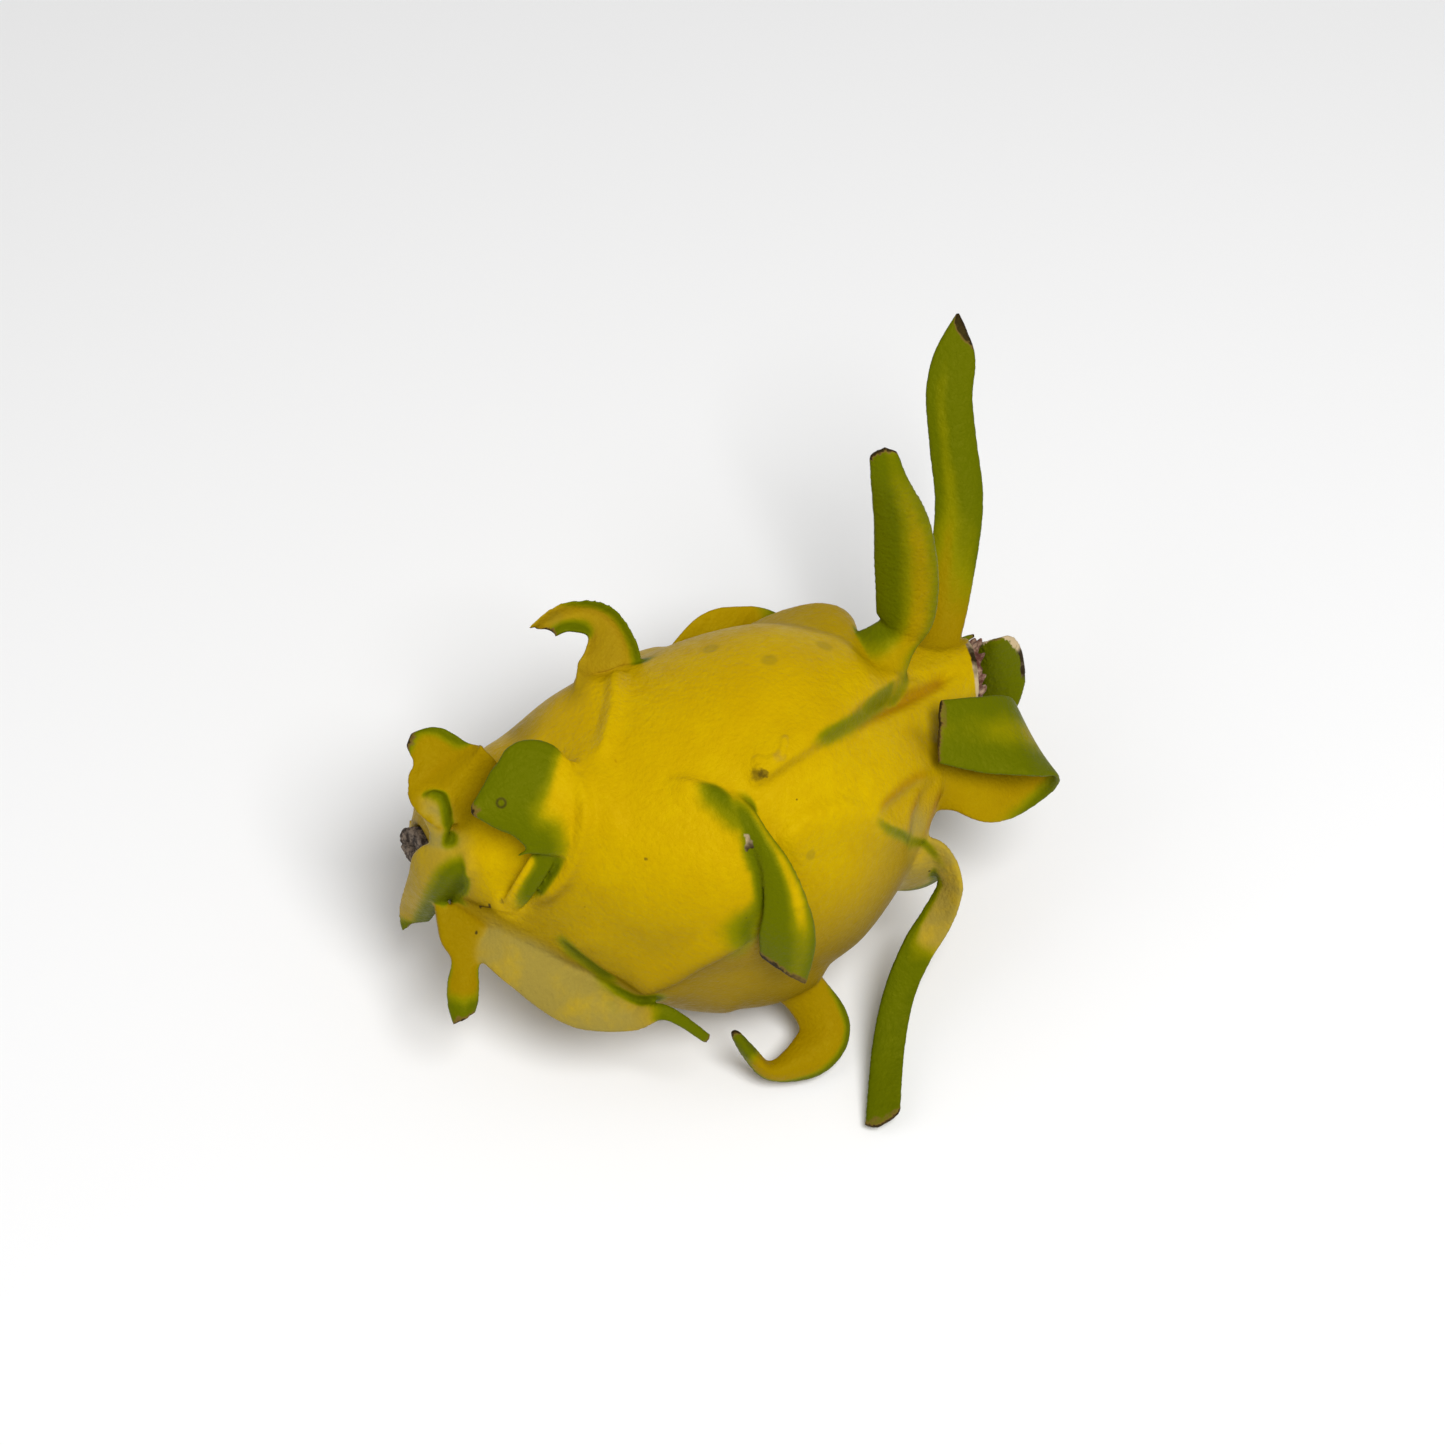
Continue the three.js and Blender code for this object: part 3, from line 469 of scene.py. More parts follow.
def turned(profile, rings, around_steps, shift):
    """A closed turned shape on the core line: profile holds (along, radius) from pole to pole."""
    profile = np.array(profile, dtype=float)
    run = np.concatenate([[0], np.cumsum(np.hypot(*np.diff(profile, axis=0).T))])
    shape = bmesh.new()
    bmesh.ops.create_uvsphere(shape, u_segments=around_steps, v_segments=rings, radius=1)
    place = np.array([vert.co for vert in shape.verts])
    at = np.arccos(place[:, 2].clip(-1, 1)) / np.pi * run[-1]
    along, radius = np.interp(at, run, profile[:, 0]), np.interp(at, run, profile[:, 1])
    around = np.degrees(np.arctan2(place[:, 0], place[:, 1]))
    ahead, out = shift(along, radius, around)
    for vert, a, r, turn in zip(shape.verts, along + ahead, radius + out, around):
        vert.co = core_point(a) + outward(turn) * max(r, 0)
    bmesh.ops.recalc_face_normals(shape, faces=shape.faces)
    return shape


def body_profile():
    socket = [(SOCKET_DEPTH, 0), (SOCKET_DEPTH, SOCKET_RADIUS - 0.5), (SOCKET_DEPTH - 0.5, SOCKET_RADIUS),
              (0, SOCKET_RADIUS)]
    floor = LENGTH - NAVEL_DEPTH
    navel = [(LENGTH, 6), (LENGTH - NAVEL_WAIST, 4.8), (floor, 3.5), (floor, 0)]
    return [*socket, *RADIUS_TABLE, *navel]


def rim_tilt(along, around):
    """The rim of the navel is not square: it sits further back on one side."""
    lean = 0.5 - 0.5 * np.cos(np.radians(around - RIM_HIGH))
    return RIM_TILT * lean * rise(along, RIM_FROM, LENGTH - RIM_FROM)


def cut_tilt(along, around):
    """The stem was cut off at a slant."""
    lean = 0.5 + 0.5 * np.cos(np.radians(around - CUT_LOW))
    return CUT_TILT * lean * (1 - smooth(along / CUT_FADE))


def skin_shift(along, radius, around):
    on_skin = np.abs(radius - np.interp(along, *RADIUS_TABLE.T)) < SKIN_TOLERANCE
    raised = np.where(on_skin, relief(along, around) + folds(along, around), 0)
    return cut_tilt(along, around) - rim_tilt(along, around), raised


body_shape = turned(body_profile(), BODY_RINGS, BODY_ROUND, skin_shift)
print("body:", len(body_shape.verts), "points")

# %% [markdown]
# ## The blades
# A blade is a grid that is laid along its leaf's rows. Extruding the whole grid gives it a second
# face, and every point keeps its place on the leaf in two layers, so either face can be set to its
# own side of the middle. Solidify would do this too, but with one thickness all over.

# %% Lines of the leaves
ROOT_THICKNESS, TIP_THICKNESS, THIN_FROM, EDGE_THINNING = 3.0, 1.5, 0.5, 0.25
BLADE_STEP, BLADE_ACROSS, FEWEST_STEPS = 0.8, 20, 12
TIP_FROM, TEARS, TEAR_DEPTH = 0.75, 3, 0.6
RIPPLE, RIPPLE_LENGTH = 0.04, 11
ROLL_FROM, ROLL_OVER, ROLL_RISE, ROLL_WAIT = 0.45, 0.55, 4, 0.6


class LeafLine:
    """Stations along the middle of a leaf, and points anywhere on it."""

    def __init__(self, leaf, roll, seed):
        self.leaf, self.roll, self.seed = leaf, roll, seed
        rows = np.array(leaf.rows, dtype=float)
        self.length = sum(np.linalg.norm(b[:3] - a[:3]) for a, b in zip(rows, rows[1:]))
        self.steps = max(FEWEST_STEPS, round(self.length / BLADE_STEP))
        out, side = outward(leaf.around), sideways(leaf.around)
        root = core_point(leaf.along) + out * skin_radius(leaf.along)
        self.rows = [between(rows, n / self.steps * (len(rows) - 1)) for n in range(self.steps + 1)]
        self.points = [root + Vector((row[0], 0, 0)) + out * row[1] + side * row[2] for row in self.rows]
        self.tangents, self.normals, self.across = [], [], []
        normal, heading = out, None
        for n, row in enumerate(self.rows):
            tangent = (self.points[min(n + 1, self.steps)] - self.points[max(n - 1, 0)]).normalized()
            if heading:
                normal = heading.rotation_difference(tangent) @ normal
            normal = (normal - tangent * normal.dot(tangent)).normalized()
            heading = tangent
            face = Quaternion(tangent, math.radians(row[4])) @ normal
            self.tangents.append(tangent)
            self.normals.append(face)
            self.across.append(tangent.cross(face))

    def tip_shift(self, u, v):
        """How far the end is drawn out at v, with small tears."""
        end = float(rise(u, TIP_FROM, 1 - TIP_FROM))
        tear = TEAR_DEPTH * noise.noise((TEARS * v, self.seed, 0))
        return end * (self.leaf.slant * v + self.leaf.point * (1 - v * v) + end * tear)

    def middle(self, u, v):
        """The point halfway through the leaf at u along it and v across it, and the normal there."""
        n = round(u * self.steps)
        half, cup = self.rows[n][3], self.rows[n][5]
        ripple = RIPPLE * noise.noise((u * self.length / RIPPLE_LENGTH, self.seed, v > 0))
        point = self.points[n] + self.across[n] * (v * half * (1 + ripple))
        rolled = rise(abs(v), ROLL_FROM, ROLL_OVER) * smooth(ROLL_RISE * u - ROLL_WAIT)
        curl = self.roll[int(v > 0)] * float(rolled)
        point -= self.normals[n] * (cup * v * v + curl)
        return point + self.tangents[n] * self.tip_shift(u, v), self.normals[n]

    def thickness(self, u, v):
        thick = ROOT_THICKNESS + (TIP_THICKNESS - ROOT_THICKNESS) * float(smooth(u / THIN_FROM))
        return thick * (1 - EDGE_THINNING * v * v)


LINES = {name: LeafLine(leaf, TINTS[name]["roll"], 10 + 3 * n)
         for n, (name, leaf) in enumerate(LEAVES.items())}
print("longest leaf:", round(max(line.length for line in LINES.values())), "mm")


# %% Blades
def blade(line):
    """One leaf's blade as a closed shape."""
    shape = bmesh.new()
    along_leaf = shape.verts.layers.float.new("along_leaf")
    across_leaf = shape.verts.layers.float.new("across_leaf")
    bmesh.ops.create_grid(shape, x_segments=BLADE_ACROSS, y_segments=line.steps, size=1)
    for vert in shape.verts:
        vert[along_leaf], vert[across_leaf] = (vert.co.y + 1) / 2, vert.co.x
    fronts = list(shape.verts)
    backs = bmesh.ops.extrude_face_region(shape, geom=shape.faces[:])["geom"]
    backs = [part for part in backs if isinstance(part, bmesh.types.BMVert)]
    for verts, face in ((fronts, 0.5), (backs, -0.5)):
        for vert in verts:
            u, v = vert[along_leaf], vert[across_leaf]
            point, normal = line.middle(u, v)
            vert.co = point + normal * (face * line.thickness(u, v))
    bmesh.ops.recalc_face_normals(shape, faces=shape.faces)
    return shape


blades = [blade(line) for line in LINES.values()]
print("blades:", sum(len(shape.verts) for shape in blades), "points")

# %% [markdown]
# ## Growing together
# On the real fruit a leaf and the skin are one tissue, with a soft hollow where they meet. Joining
# the closed shapes and remeshing them as one volume gives that hollow for free: the small steps of the
# voxels are then smoothed away, and the flat spot that the fruit rests on is pressed in.

# %% Fusing
VOXEL = 0.42
SMOOTHING = 7
PIECE_TRIANGLES = 190_000


def as_mesh(name, shape):
    mesh = bpy.data.meshes.new(name)
    shape.to_mesh(mesh)
    shape.free()
    return mesh


def linked(name, data):
    """A new object in the scene that shows a mesh, a light or a camera."""
    made = bpy.data.objects.new(name, data)
    bpy.context.scene.collection.objects.link(made)
    return made


def fused(shapes):
    joined = bmesh.new()
    for shape in shapes:
        part = as_mesh("part", shape)
        joined.from_mesh(part)
        bpy.data.meshes.remove(part)
    holder = linked("holder", as_mesh("whole", joined))
    remesh = holder.modifiers.new("remesh", "REMESH")
    remesh.mode, remesh.voxel_size = "VOXEL", VOXEL
    even = holder.modifiers.new("even", "SMOOTH")
    even.factor, even.iterations = 0.5, SMOOTHING
    fewer = holder.modifiers.new("fewer", "DECIMATE")
    graph = bpy.context.evaluated_depsgraph_get()
    fewer.ratio = min(1, PIECE_TRIANGLES / (2 * len(holder.evaluated_get(graph).data.polygons)))
    graph = bpy.context.evaluated_depsgraph_get()
    mesh = bpy.data.meshes.new_from_object(holder.evaluated_get(graph))
    bpy.data.objects.remove(holder)
    return mesh


fruit_mesh = fused([body_shape, *blades])
print("fruit:", len(fruit_mesh.polygons), "faces")


# %% Rest spot
def listed(parts, key, columns, kind=float):
    """What a mesh says about each of its points or edges, as rows of an array."""
    found = np.empty(columns * len(parts), dtype=kind)
    parts.foreach_get(key, found)
    return found.reshape(-1, columns)


coords = listed(fruit_mesh.vertices, "co", 3)
coords[:, 2] = coords[:, 2].clip(0)
print("rest spot:", int((coords[:, 2] == 0).sum()), "points on the table")

# %% [markdown]
# ## Where each point of the skin lies
# Colour follows growth: how far along its leaf a point is and how near the margin. How deep it lies
# in a hollow or an axil sets the soft axil fill and painted shade.
# So each point of the fused mesh looks up the nearest sample of the leaves' middles, and the answers
# are kept as attributes of the mesh, which the material then reads.

# %% Nearest leaf
SAMPLES_ACROSS = 17
CLINGS, FADES, ROOT_GAP = 0.5, 0.9, (3, 4)
samples = []
for number, name in enumerate(LEAF_NAMES):
    line = LINES[name]
    for n in range(line.steps + 1):
        for v in np.linspace(-1, 1, SAMPLES_ACROSS):
            u = n / line.steps
            point, normal = line.middle(u, v)
            samples.append((*point, *normal, number, u, v, line.thickness(u, v) / 2,
                            line.rows[n][3], (1 - u) * line.length))
samples = np.array(samples)
tree = kdtree.KDTree(len(samples))
for n, sample in enumerate(samples):
    tree.insert(sample[:3], n)
tree.balance()
nearest = np.array([tree.find(point)[1] for point in coords])
leaf_middle, leaf_normal = samples[nearest, :3], samples[nearest, 3:6]
leaf_number, leaf_u, leaf_v, half_thick, half_wide, to_tip = samples[nearest, 6:].T
leaf_number = leaf_number.astype(int)
offset = coords - leaf_middle
face_side = np.einsum("ij,ij->i", offset, leaf_normal)
gap = np.linalg.norm(offset, axis=1) - half_thick
on_leaf = 1 - rise(gap, CLINGS, FADES)
print("points on leaves:", int((on_leaf > 0.5).sum()))


def by_leaf(key):
    """What the tints say under a key, for the leaf nearest to each point."""
    return np.array([TINTS[name][key] for name in LEAF_NAMES], dtype=float)[leaf_number].T


# %% Hollows and soft axils
edges = listed(fruit_mesh.edges, "vertices", 2, int)
links = np.bincount(edges.ravel(), minlength=len(coords))


def ring_mean(values):
    """The mean of each point's neighbours."""
    start, end = edges.T
    total = [np.bincount(start, column[end], len(column)) + np.bincount(end, column[start], len(column))
             for column in values.T]
    return np.stack(total, axis=1) / links[:, None]


def surface_normals(places):
    fruit_mesh.vertices.foreach_set("co", places.ravel())
    fruit_mesh.update()
    return listed(fruit_mesh.vertices, "normal", 3)


def widened(values, rounds):
    """Values, or places, evened out with their neighbours."""
    for _ in range(rounds):
        values = 0.5 * values + 0.5 * ring_mean(values)
    return values


def sunk(rounds):
    """How far each point lies below the mean of its surroundings, in mm."""
    return np.einsum("ij,ij->i", widened(coords, rounds) - coords, normals)


HOLLOW_ROUNDS, AXIL_ROUNDS, FILL_ROUNDS = 40, 110, 3
AXIL_FILL, AXIL_DEEPEST, AXIL_FADE, CLEAR_OF_TABLE = 0.6, 4, 0.2, 0.5
normals = surface_normals(coords)
# How deep each point lies below its surroundings, in mm: the mask of the painted orange shade in hollows
hollow_shade = sunk(HOLLOW_ROUNDS)
print("deepest hollow:", round(float(hollow_shade.max()), 2), "mm")
near_root = (1 - rise(leaf_u, by_leaf("axil"), AXIL_FADE)) * (1 - rise(gap, *ROOT_GAP))
axil = sunk(AXIL_ROUNDS).clip(0, AXIL_DEEPEST)
fill = AXIL_FILL * near_root * axil * (coords[:, 2] > CLEAR_OF_TABLE)
coords = widened(coords + normals * fill[:, None], FILL_ROUNDS)
coords[:, 2] = coords[:, 2].clip(0)
normals = surface_normals(coords)

# %% Tint of each point
MARGIN_FADE, PALE_FADE, PALE_END, CLEAR_OF_LEAF = 0.15, 0.2, 0.25, -5
STRIPE_FROM, STRIPE_FADE, STRIPE_LOSS, STRIPE_END = 0.15, 0.2, 0.6, (0.7, 0.3)


def margin_green(key, side):
    strength, band, start, until = by_leaf(key)
    return strength * rise(side * leaf_v, 1 - band, band) * span(leaf_u, start, until, MARGIN_FADE)


start, full = by_leaf("middle")
middle_green = rise(leaf_u, start, full - start)
strength, place, width = by_leaf("stripe")
stripe = strength * np.exp(-(((leaf_v - place) / width) ** 2))
stripe *= rise(leaf_u, STRIPE_FROM, STRIPE_FADE) * (1 - STRIPE_LOSS * rise(leaf_u, *STRIPE_END))
green = np.max([middle_green * (1 - stripe), margin_green("low", -1), margin_green("high", 1)], axis=0)
green *= by_leaf("green") * np.where(face_side < 0, by_leaf("inner"), 1) * on_leaf
bleach, start, until = by_leaf("pale")
pale = bleach * rise(leaf_u, start - PALE_FADE / 2, PALE_FADE) * smooth((until - leaf_u) / PALE_END)
pale *= (1 - middle_green) * (1 - rise(gap, CLINGS, 3))
reach, lean = by_leaf("dry")
dried = (reach * (1 + lean * leaf_v) - to_tip) * on_leaf + CLEAR_OF_LEAF * (1 - on_leaf)
print("green points on leaves:", int((green > 0.5).sum()))

# %% Green shades on the skin
# Where a scale turns green in the skin: (line, width of the soft side, which side that is, strength,
# how far it covers the leaves)
SHADES = [
    ([(50, 17.5), (53.3, 21.1), (55.1, 23.1), (57.1, 26.7), (58.7, 31.6), (59.1, 36)], 4.4, 1, 0.8, 0),
    ([(57.4, 56.2), (56.4, 64.5), (54.9, 74)], 7.0, 1, 0.8, 0),
    ([(106, -3), (100.5, 4.8), (93.7, 11.4), (88.3, 15.8), (84, 17.7), (78, 19)], 2.4, -1, 0.58, 0),
    ([(84, 46), (88, 58.4), (91.3, 65.9), (95.2, 80.4), (98.5, 90), (101, 98)], 1.6, 1, 0.85, 1),
    ([(19, 80), (20.9, 86), (23.4, 92.5), (27, 99), (28.5, 102)], 1.8, 1, 0.85, 1),
]
SHADE_KEEN, SHADE_IN, SHADE_OUT = 0.9, 7, 4
skin_along = coords[:, 0] - STEM_X
core = np.array([core_point(a) for a in skin_along])
skin_around = np.degrees(np.arctan2(core[:, 1] - coords[:, 1], coords[:, 2] - core[:, 2]))
for line, width, side, strength, over in SHADES:
    distance, ran, length = from_line(skin_along, skin_around, line)
    reach = np.where(distance * side > 0, width, SHADE_KEEN)
    shade = strength * np.exp(-((distance / reach) ** 2))
    shade *= rise(ran, 0, SHADE_IN) * rise(length - ran, -SHADE_OUT / 2, SHADE_OUT)
    green = np.maximum(green, shade * (1 - (1 - over) * on_leaf * rise(leaf_u, 0.1, 0.2)))
print("green points:", int((green > 0.5).sum()))

# %% Painted shade in creases, underneath and at the neck, and papery parts
# Painted shade along creases too fine for the mesh: (line, width, depth in mm)
PAINTED_CREASES = [
    ([(84, 19.5), (91.4, 15.6), (98.3, 14), (105.4, 12.3), (111.1, 11), (117, 6)], 2.0, 1.3),
    ([(84, 50), (90.2, 49.2), (94.1, 49.6), (97.9, 51), (104.5, 60)], 1.2, 0.9),
    (FOLDS["neck_middle"][0][1:5], 1.0, 0.8),
    (FOLDS["neck_right"][0][:5], 1.4, 1.0),
]
CREASE_FADE, DOWN_FROM, DOWN_OVER, DOWN_ROUNDS = 6, 0.84, 1.15, 12
NECK_FROM, NECK_OVER, NECK_SHADE, RIM_DRY, TORN_FADE = 90, 16, 0.12, 2.2, 0.1
# Painted orange shade along each crease, joined to the painted shade of the hollows
for line, width, depth in PAINTED_CREASES:
    distance, ran, length = from_line(skin_along, skin_around, line)
    crease_shade = depth * span(ran, 0, length, CREASE_FADE) * np.exp(-((distance / width) ** 2))
    hollow_shade = np.maximum(hollow_shade, crease_shade * (1 - on_leaf))
# Painted golden shade: where the surface faces down, a little towards the neck, and on the leaves
underside_shade = smooth((DOWN_FROM - widened(normals, DOWN_ROUNDS)[:, 2]) / DOWN_OVER)
neck = rise(skin_along, NECK_FROM, NECK_OVER)
painted_shade = (1 - on_leaf) * np.maximum(underside_shade, NECK_SHADE * neck) + on_leaf * by_leaf("painted_shade")
to_rim = LENGTH - skin_along - rim_tilt(skin_along, skin_around)
papery = smooth((RIM_DRY - to_rim) / 1.5) * (1 - on_leaf)
for name, side, start, until, width in TORN:
    here = (leaf_number == LEAF_NAMES.index(name)) * rise(leaf_u, start, TORN_FADE) * (leaf_u < until)
    to_margin = half_wide * (1 - side * leaf_v)
    papery = np.maximum(papery, here * on_leaf * smooth(1.5 - to_margin / width))
print("papery points:", int((papery > 0.5).sum()))


# %% Marks on the skin
def skin_place(along, around):
    """The outermost point of the fruit at a place of the skin."""
    offset = unrolled(skin_along, skin_around) - unrolled(along, around)
    here = np.flatnonzero((offset ** 2).sum(axis=-1) < 1)
    radius = np.linalg.norm(coords[here, 1:] - core[here, 1:], axis=1)
    return Vector(coords[here[radius.argmax()]]) * MM


def marks(*rows):
    """Each (along, around, size in mm) as a place on the fruit and a size in metres."""
    return [(skin_place(along, around), size * MM) for along, around, size in rows]


def drawn(*places):
    return [skin_place(along, around) for along, around in places]


SPOTS = marks((76.5, -15.1, 2.2), (89.6, -20, 2.4), (66, -29, 2.4), (39.2, -47, 2.6), (70, 52, 1.4))
SCARS = marks((63.2, 23.2, 1.7), (64.4, 24.2, 0.9), (37.6, 40.4, 0.7), (10.3, 68.3, 0.8))
SCRATCHES = [
    drawn((63.8, 21.8), (66.7, 19.4), (69.8, 17.6), (71.6, 14.5)),
    drawn((64.6, 17.4), (66.8, 19.6), (70.4, 20.1)),
]
SQUIGGLE = drawn((8.1, 75.6), (8.1, 81.5), (6.9, 88.7), (6.3, 99.1))
RING = LINES["triangle"].middle(0.77, 0)[0] * MM
print("marks:", len(SPOTS) + len(SCARS) + len(SCRATCHES) + 2)

# %% Keep the tints
BLEND_ROUNDS = 5
green, pale, painted_shade = widened(np.stack([green, pale, painted_shade], axis=1), BLEND_ROUNDS).T
tints = dict(green=green, pale=pale, painted_shade=painted_shade, dried=dried, papery=papery, hollow_shade=hollow_shade)
for name, values in tints.items():
    layer = fruit_mesh.attributes.new(name, "FLOAT", "POINT")
    layer.data.foreach_set("value", values.astype(np.float32))
    print(name, round(float(values.min()), 2), "to", round(float(values.max()), 2))


# %% Pieces
def piece(name, mesh, node):
    """A finished mesh as an object that stands for a solid of the frame."""
    mesh.name = name
    mesh.transform(Matrix.Scale(MM, 4))
    mesh.shade_smooth()
    made = linked(name, mesh)
    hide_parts(node)
    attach(made, "root")
    return made


fruit = piece("fine_fruit", fruit_mesh, "fruit")
print("fruit is", [round(length / MM, 1) for length in fruit.dimensions], "mm")

# %% [markdown]
# ## Shader sums
# A material is a sum of masks. Written as nodes that takes a screenful; written as Python it takes a
# line. The class below wraps a socket, and each operator on it adds the Math node that does it.

# %% Sockets as numbers
def operator(operation, swap=False):
    """A method that adds a Math node for an operator of Python."""
    def apply(self, *others):
        values = [*others, self] if swap else [self, *others]
        return self.nodes.add("Math", dict(operation=operation), *values)
    return apply


class Value:
    """A number or colour that varies over a surface."""

    def __init__(self, nodes, socket):
        self.nodes, self.socket = nodes, socket

    __add__ = __radd__ = operator("ADD")
    __sub__, __rsub__ = operator("SUBTRACT"), operator("SUBTRACT", swap=True)
    __mul__ = __rmul__ = operator("MULTIPLY")
    least = operator("MINIMUM")

    def clamped(self):
        return self.nodes.add("Clamp", None, self)

    def ramp(self, start, end, low=0.0, high=1.0):
        """A soft S from low to high as the value goes from start to end."""
        return self.nodes.add("MapRange", dict(interpolation_type="SMOOTHSTEP"), self,
                              start, end, low, high)


MIX_A, MIX_B, MIX_RESULT = 6, 7, 2  # sockets of the Mix node that hold colours


class Finish:
    """The node tree of one material."""

    def __init__(self, name):
        self.material = bpy.data.materials.new(name)
        self.material.use_nodes = True
        self.tree = self.material.node_tree
        self.shader = self.tree.nodes["Principled BSDF"]
        self.place = self.add("TexCoord", output="Object")

    def add(self, kind, settings=None, *values, output=0, **named):
        node = self.tree.nodes.new("ShaderNode" + kind)
        for setting, value in (settings or {}).items():
            setattr(node, setting, value)
        for key, value in [*enumerate(values), *named.items()]:
            self.feed(node.inputs[key], value)
        return Value(self, node.outputs[output])

    def feed(self, socket, value):
        if isinstance(value, Value):
            self.tree.links.new(value.socket, socket)
        else:
            socket.default_value = value

    def attribute(self, name):
        return self.add("Attribute", dict(attribute_name=name), output="Fac")

    def noise(self, size, detail, rough=0.5, seed=0.0):
        """Cloudy noise whose lumps are about `size` metres across."""
        return self.add("TexNoise", dict(noise_dimensions="4D"), Vector=self.place, W=seed,
                        Scale=1 / size, Detail=detail, Roughness=rough)

    def mix(self, mask, low, high):
        """The colour low where mask is 0, high where it is 1."""
        node = self.tree.nodes.new("ShaderNodeMix")
        node.data_type = "RGBA"
        self.feed(node.inputs["Factor"], mask)
        for key, colour in ((MIX_A, low), (MIX_B, high)):
            self.feed(node.inputs[key], colour if isinstance(colour, Value) else (*colour, 1))
        return Value(self, node.outputs[MIX_RESULT])

    def vector(self, operation, *values, output="Value", **named):
        return self.add("VectorMath", dict(operation=operation), *values, output=output, **named)

    def apart(self, place):
        """The distance from a place, in metres."""
        return self.vector("DISTANCE", self.place, tuple(place))

    def off_line(self, places):
        """The distance from a line through some places."""
        nearest = None
        for start, end in zip(places, places[1:]):
            run = end - start
            offset = self.vector("SUBTRACT", self.place, tuple(start), output="Vector")
            ahead = self.vector("DOT_PRODUCT", offset, tuple(run / run.length_squared))
            foot = self.vector("SCALE", tuple(run), Scale=ahead.clamped(), output="Vector")
            distance = self.vector("DISTANCE", offset, foot)
            nearest = nearest.least(distance) if nearest else distance
        return nearest

    def bump(self, height, distance, strength):
        return self.add("Bump", None, Height=height, Distance=distance, Strength=strength)

    def set(self, **sockets):
        for key, value in sockets.items():
            self.feed(self.shader.inputs[key.replace("_", " ").title().replace("Ior", "IOR")], value)


# %% [markdown]
# ## Rind
# Yellow dragon fruit skin is waxy and finely pitted, like a lemon's: deep yellow, green on the leaves,
# bleached where it rubbed, and brown where a tip has dried. Painted shade darkens it too: orange in
# its hollows and creases, golden under the fruit, towards the neck and on the leaves.

# %% Colours of the rind
# The deep gold and the orange are painted shade: gold under the fruit, at the neck and on the leaves,
# orange in hollows and creases.
YELLOW, GOLD, GOLDEN_SHADE, SHADE_ORANGE = (0.57, 0.38, 0.0), (0.48, 0.29, 0.0), (0.218, 0.137, 0.0), (0.29, 0.12, 0.0)
LIME, LEAF_GREEN, DARK_GREEN = (0.21, 0.195, 0.0), (0.104, 0.121, 0.0), (0.042, 0.062, 0.0)
BLEACHED, BROWN, TAN = (0.265, 0.21, 0.05), (0.026, 0.016, 0.006), (0.16, 0.10, 0.02)
CREAM, OLIVE, SCAR = (0.55, 0.42, 0.24), (0.25, 0.18, 0.01), (0.30, 0.18, 0.03)

rind = Finish("waxy_rind")
clouds = rind.noise(0.030, 3, 0.55)
mottle = rind.noise(0.006, 3, 0.6, seed=2.0)
grain = rind.noise(0.0016, 3, 0.6, seed=9.0)
pits = rind.noise(0.0009, 2, seed=4.0)
mottled, grained = mottle - 0.5, grain - 0.5
greenness = rind.attribute("green") + 0.25 * mottled + 0.3 * (clouds - 0.5) + 0.12 * grained
dried_edge = rind.attribute("dried") + 1.2 * mottled + 0.8 * grained
torn = rind.attribute("papery") + 0.5 * grained
paper = rind.mix(mottle.ramp(0.4, 0.62), CREAM, BROWN)
dots = rind.add("TexVoronoi", dict(feature="F1"), output="Distance", Vector=rind.place, Scale=1 / 0.008)
specks = dots.ramp(0.02, 0.045, 1, 0) * mottle.ramp(0.48, 0.54)

# (mask, colour) of each layer over the yellow, from the lowest up
layers = [
    (clouds.ramp(0.35, 0.7, 0, 0.7), GOLD),
    ((0.5 * grain + 0.5 * mottle).ramp(0.35, 0.65, 0, 0.55), GOLD),
    # painted golden shade under the fruit, towards the neck and on the leaves
    (rind.attribute("painted_shade"), GOLDEN_SHADE),
    # painted orange shade in hollows and creases
    (rind.attribute("hollow_shade").ramp(0.15, 1.4, 0, 0.7), SHADE_ORANGE),
    (rind.attribute("pale") * mottle.ramp(0.25, 0.6, 0.4, 1), BLEACHED),
    (greenness.ramp(0.1, 0.5), LIME),
    (greenness.ramp(0.35, 0.8), LEAF_GREEN),
    (greenness.ramp(1.0, 1.4, 0, 0.7), DARK_GREEN),
    (dried_edge.ramp(-0.6, 0.2), TAN),
    (dried_edge.ramp(0, 0.7), BROWN),
    (torn.ramp(0.3, 0.7), paper),
    (specks * 0.85, BROWN),
]
print(len(layers), "layers of colour")

# %% Marks in the rind
ragged_place = 0.0007 * mottled + 0.0008 * grained
for place, size in SPOTS:
    layers.append(((rind.apart(place) + ragged_place).ramp(size / 2, size, 0.42, 0), OLIVE))
for place, size in SCARS:
    layers.append(((rind.apart(place) + 4 * ragged_place).ramp(size / 6, size, 0.6, 0), BROWN))
scratch = rind.off_line(SCRATCHES[0]).least(rind.off_line(SCRATCHES[1])) + 1.5 * ragged_place
layers.append((scratch.ramp(0.0004, 0.0011, 0.45, 0) * mottle.ramp(0.4, 0.55), SCAR))
layers.append((rind.off_line(SQUIGGLE).ramp(0.00015, 0.0004, 0.9, 0), BROWN))
ring = rind.apart(RING)
layers.append((ring.ramp(0.0008, 0.0011) * ring.ramp(0.0011, 0.0015, 0.75, 0), BROWN))
print(len(layers), "with the marks")

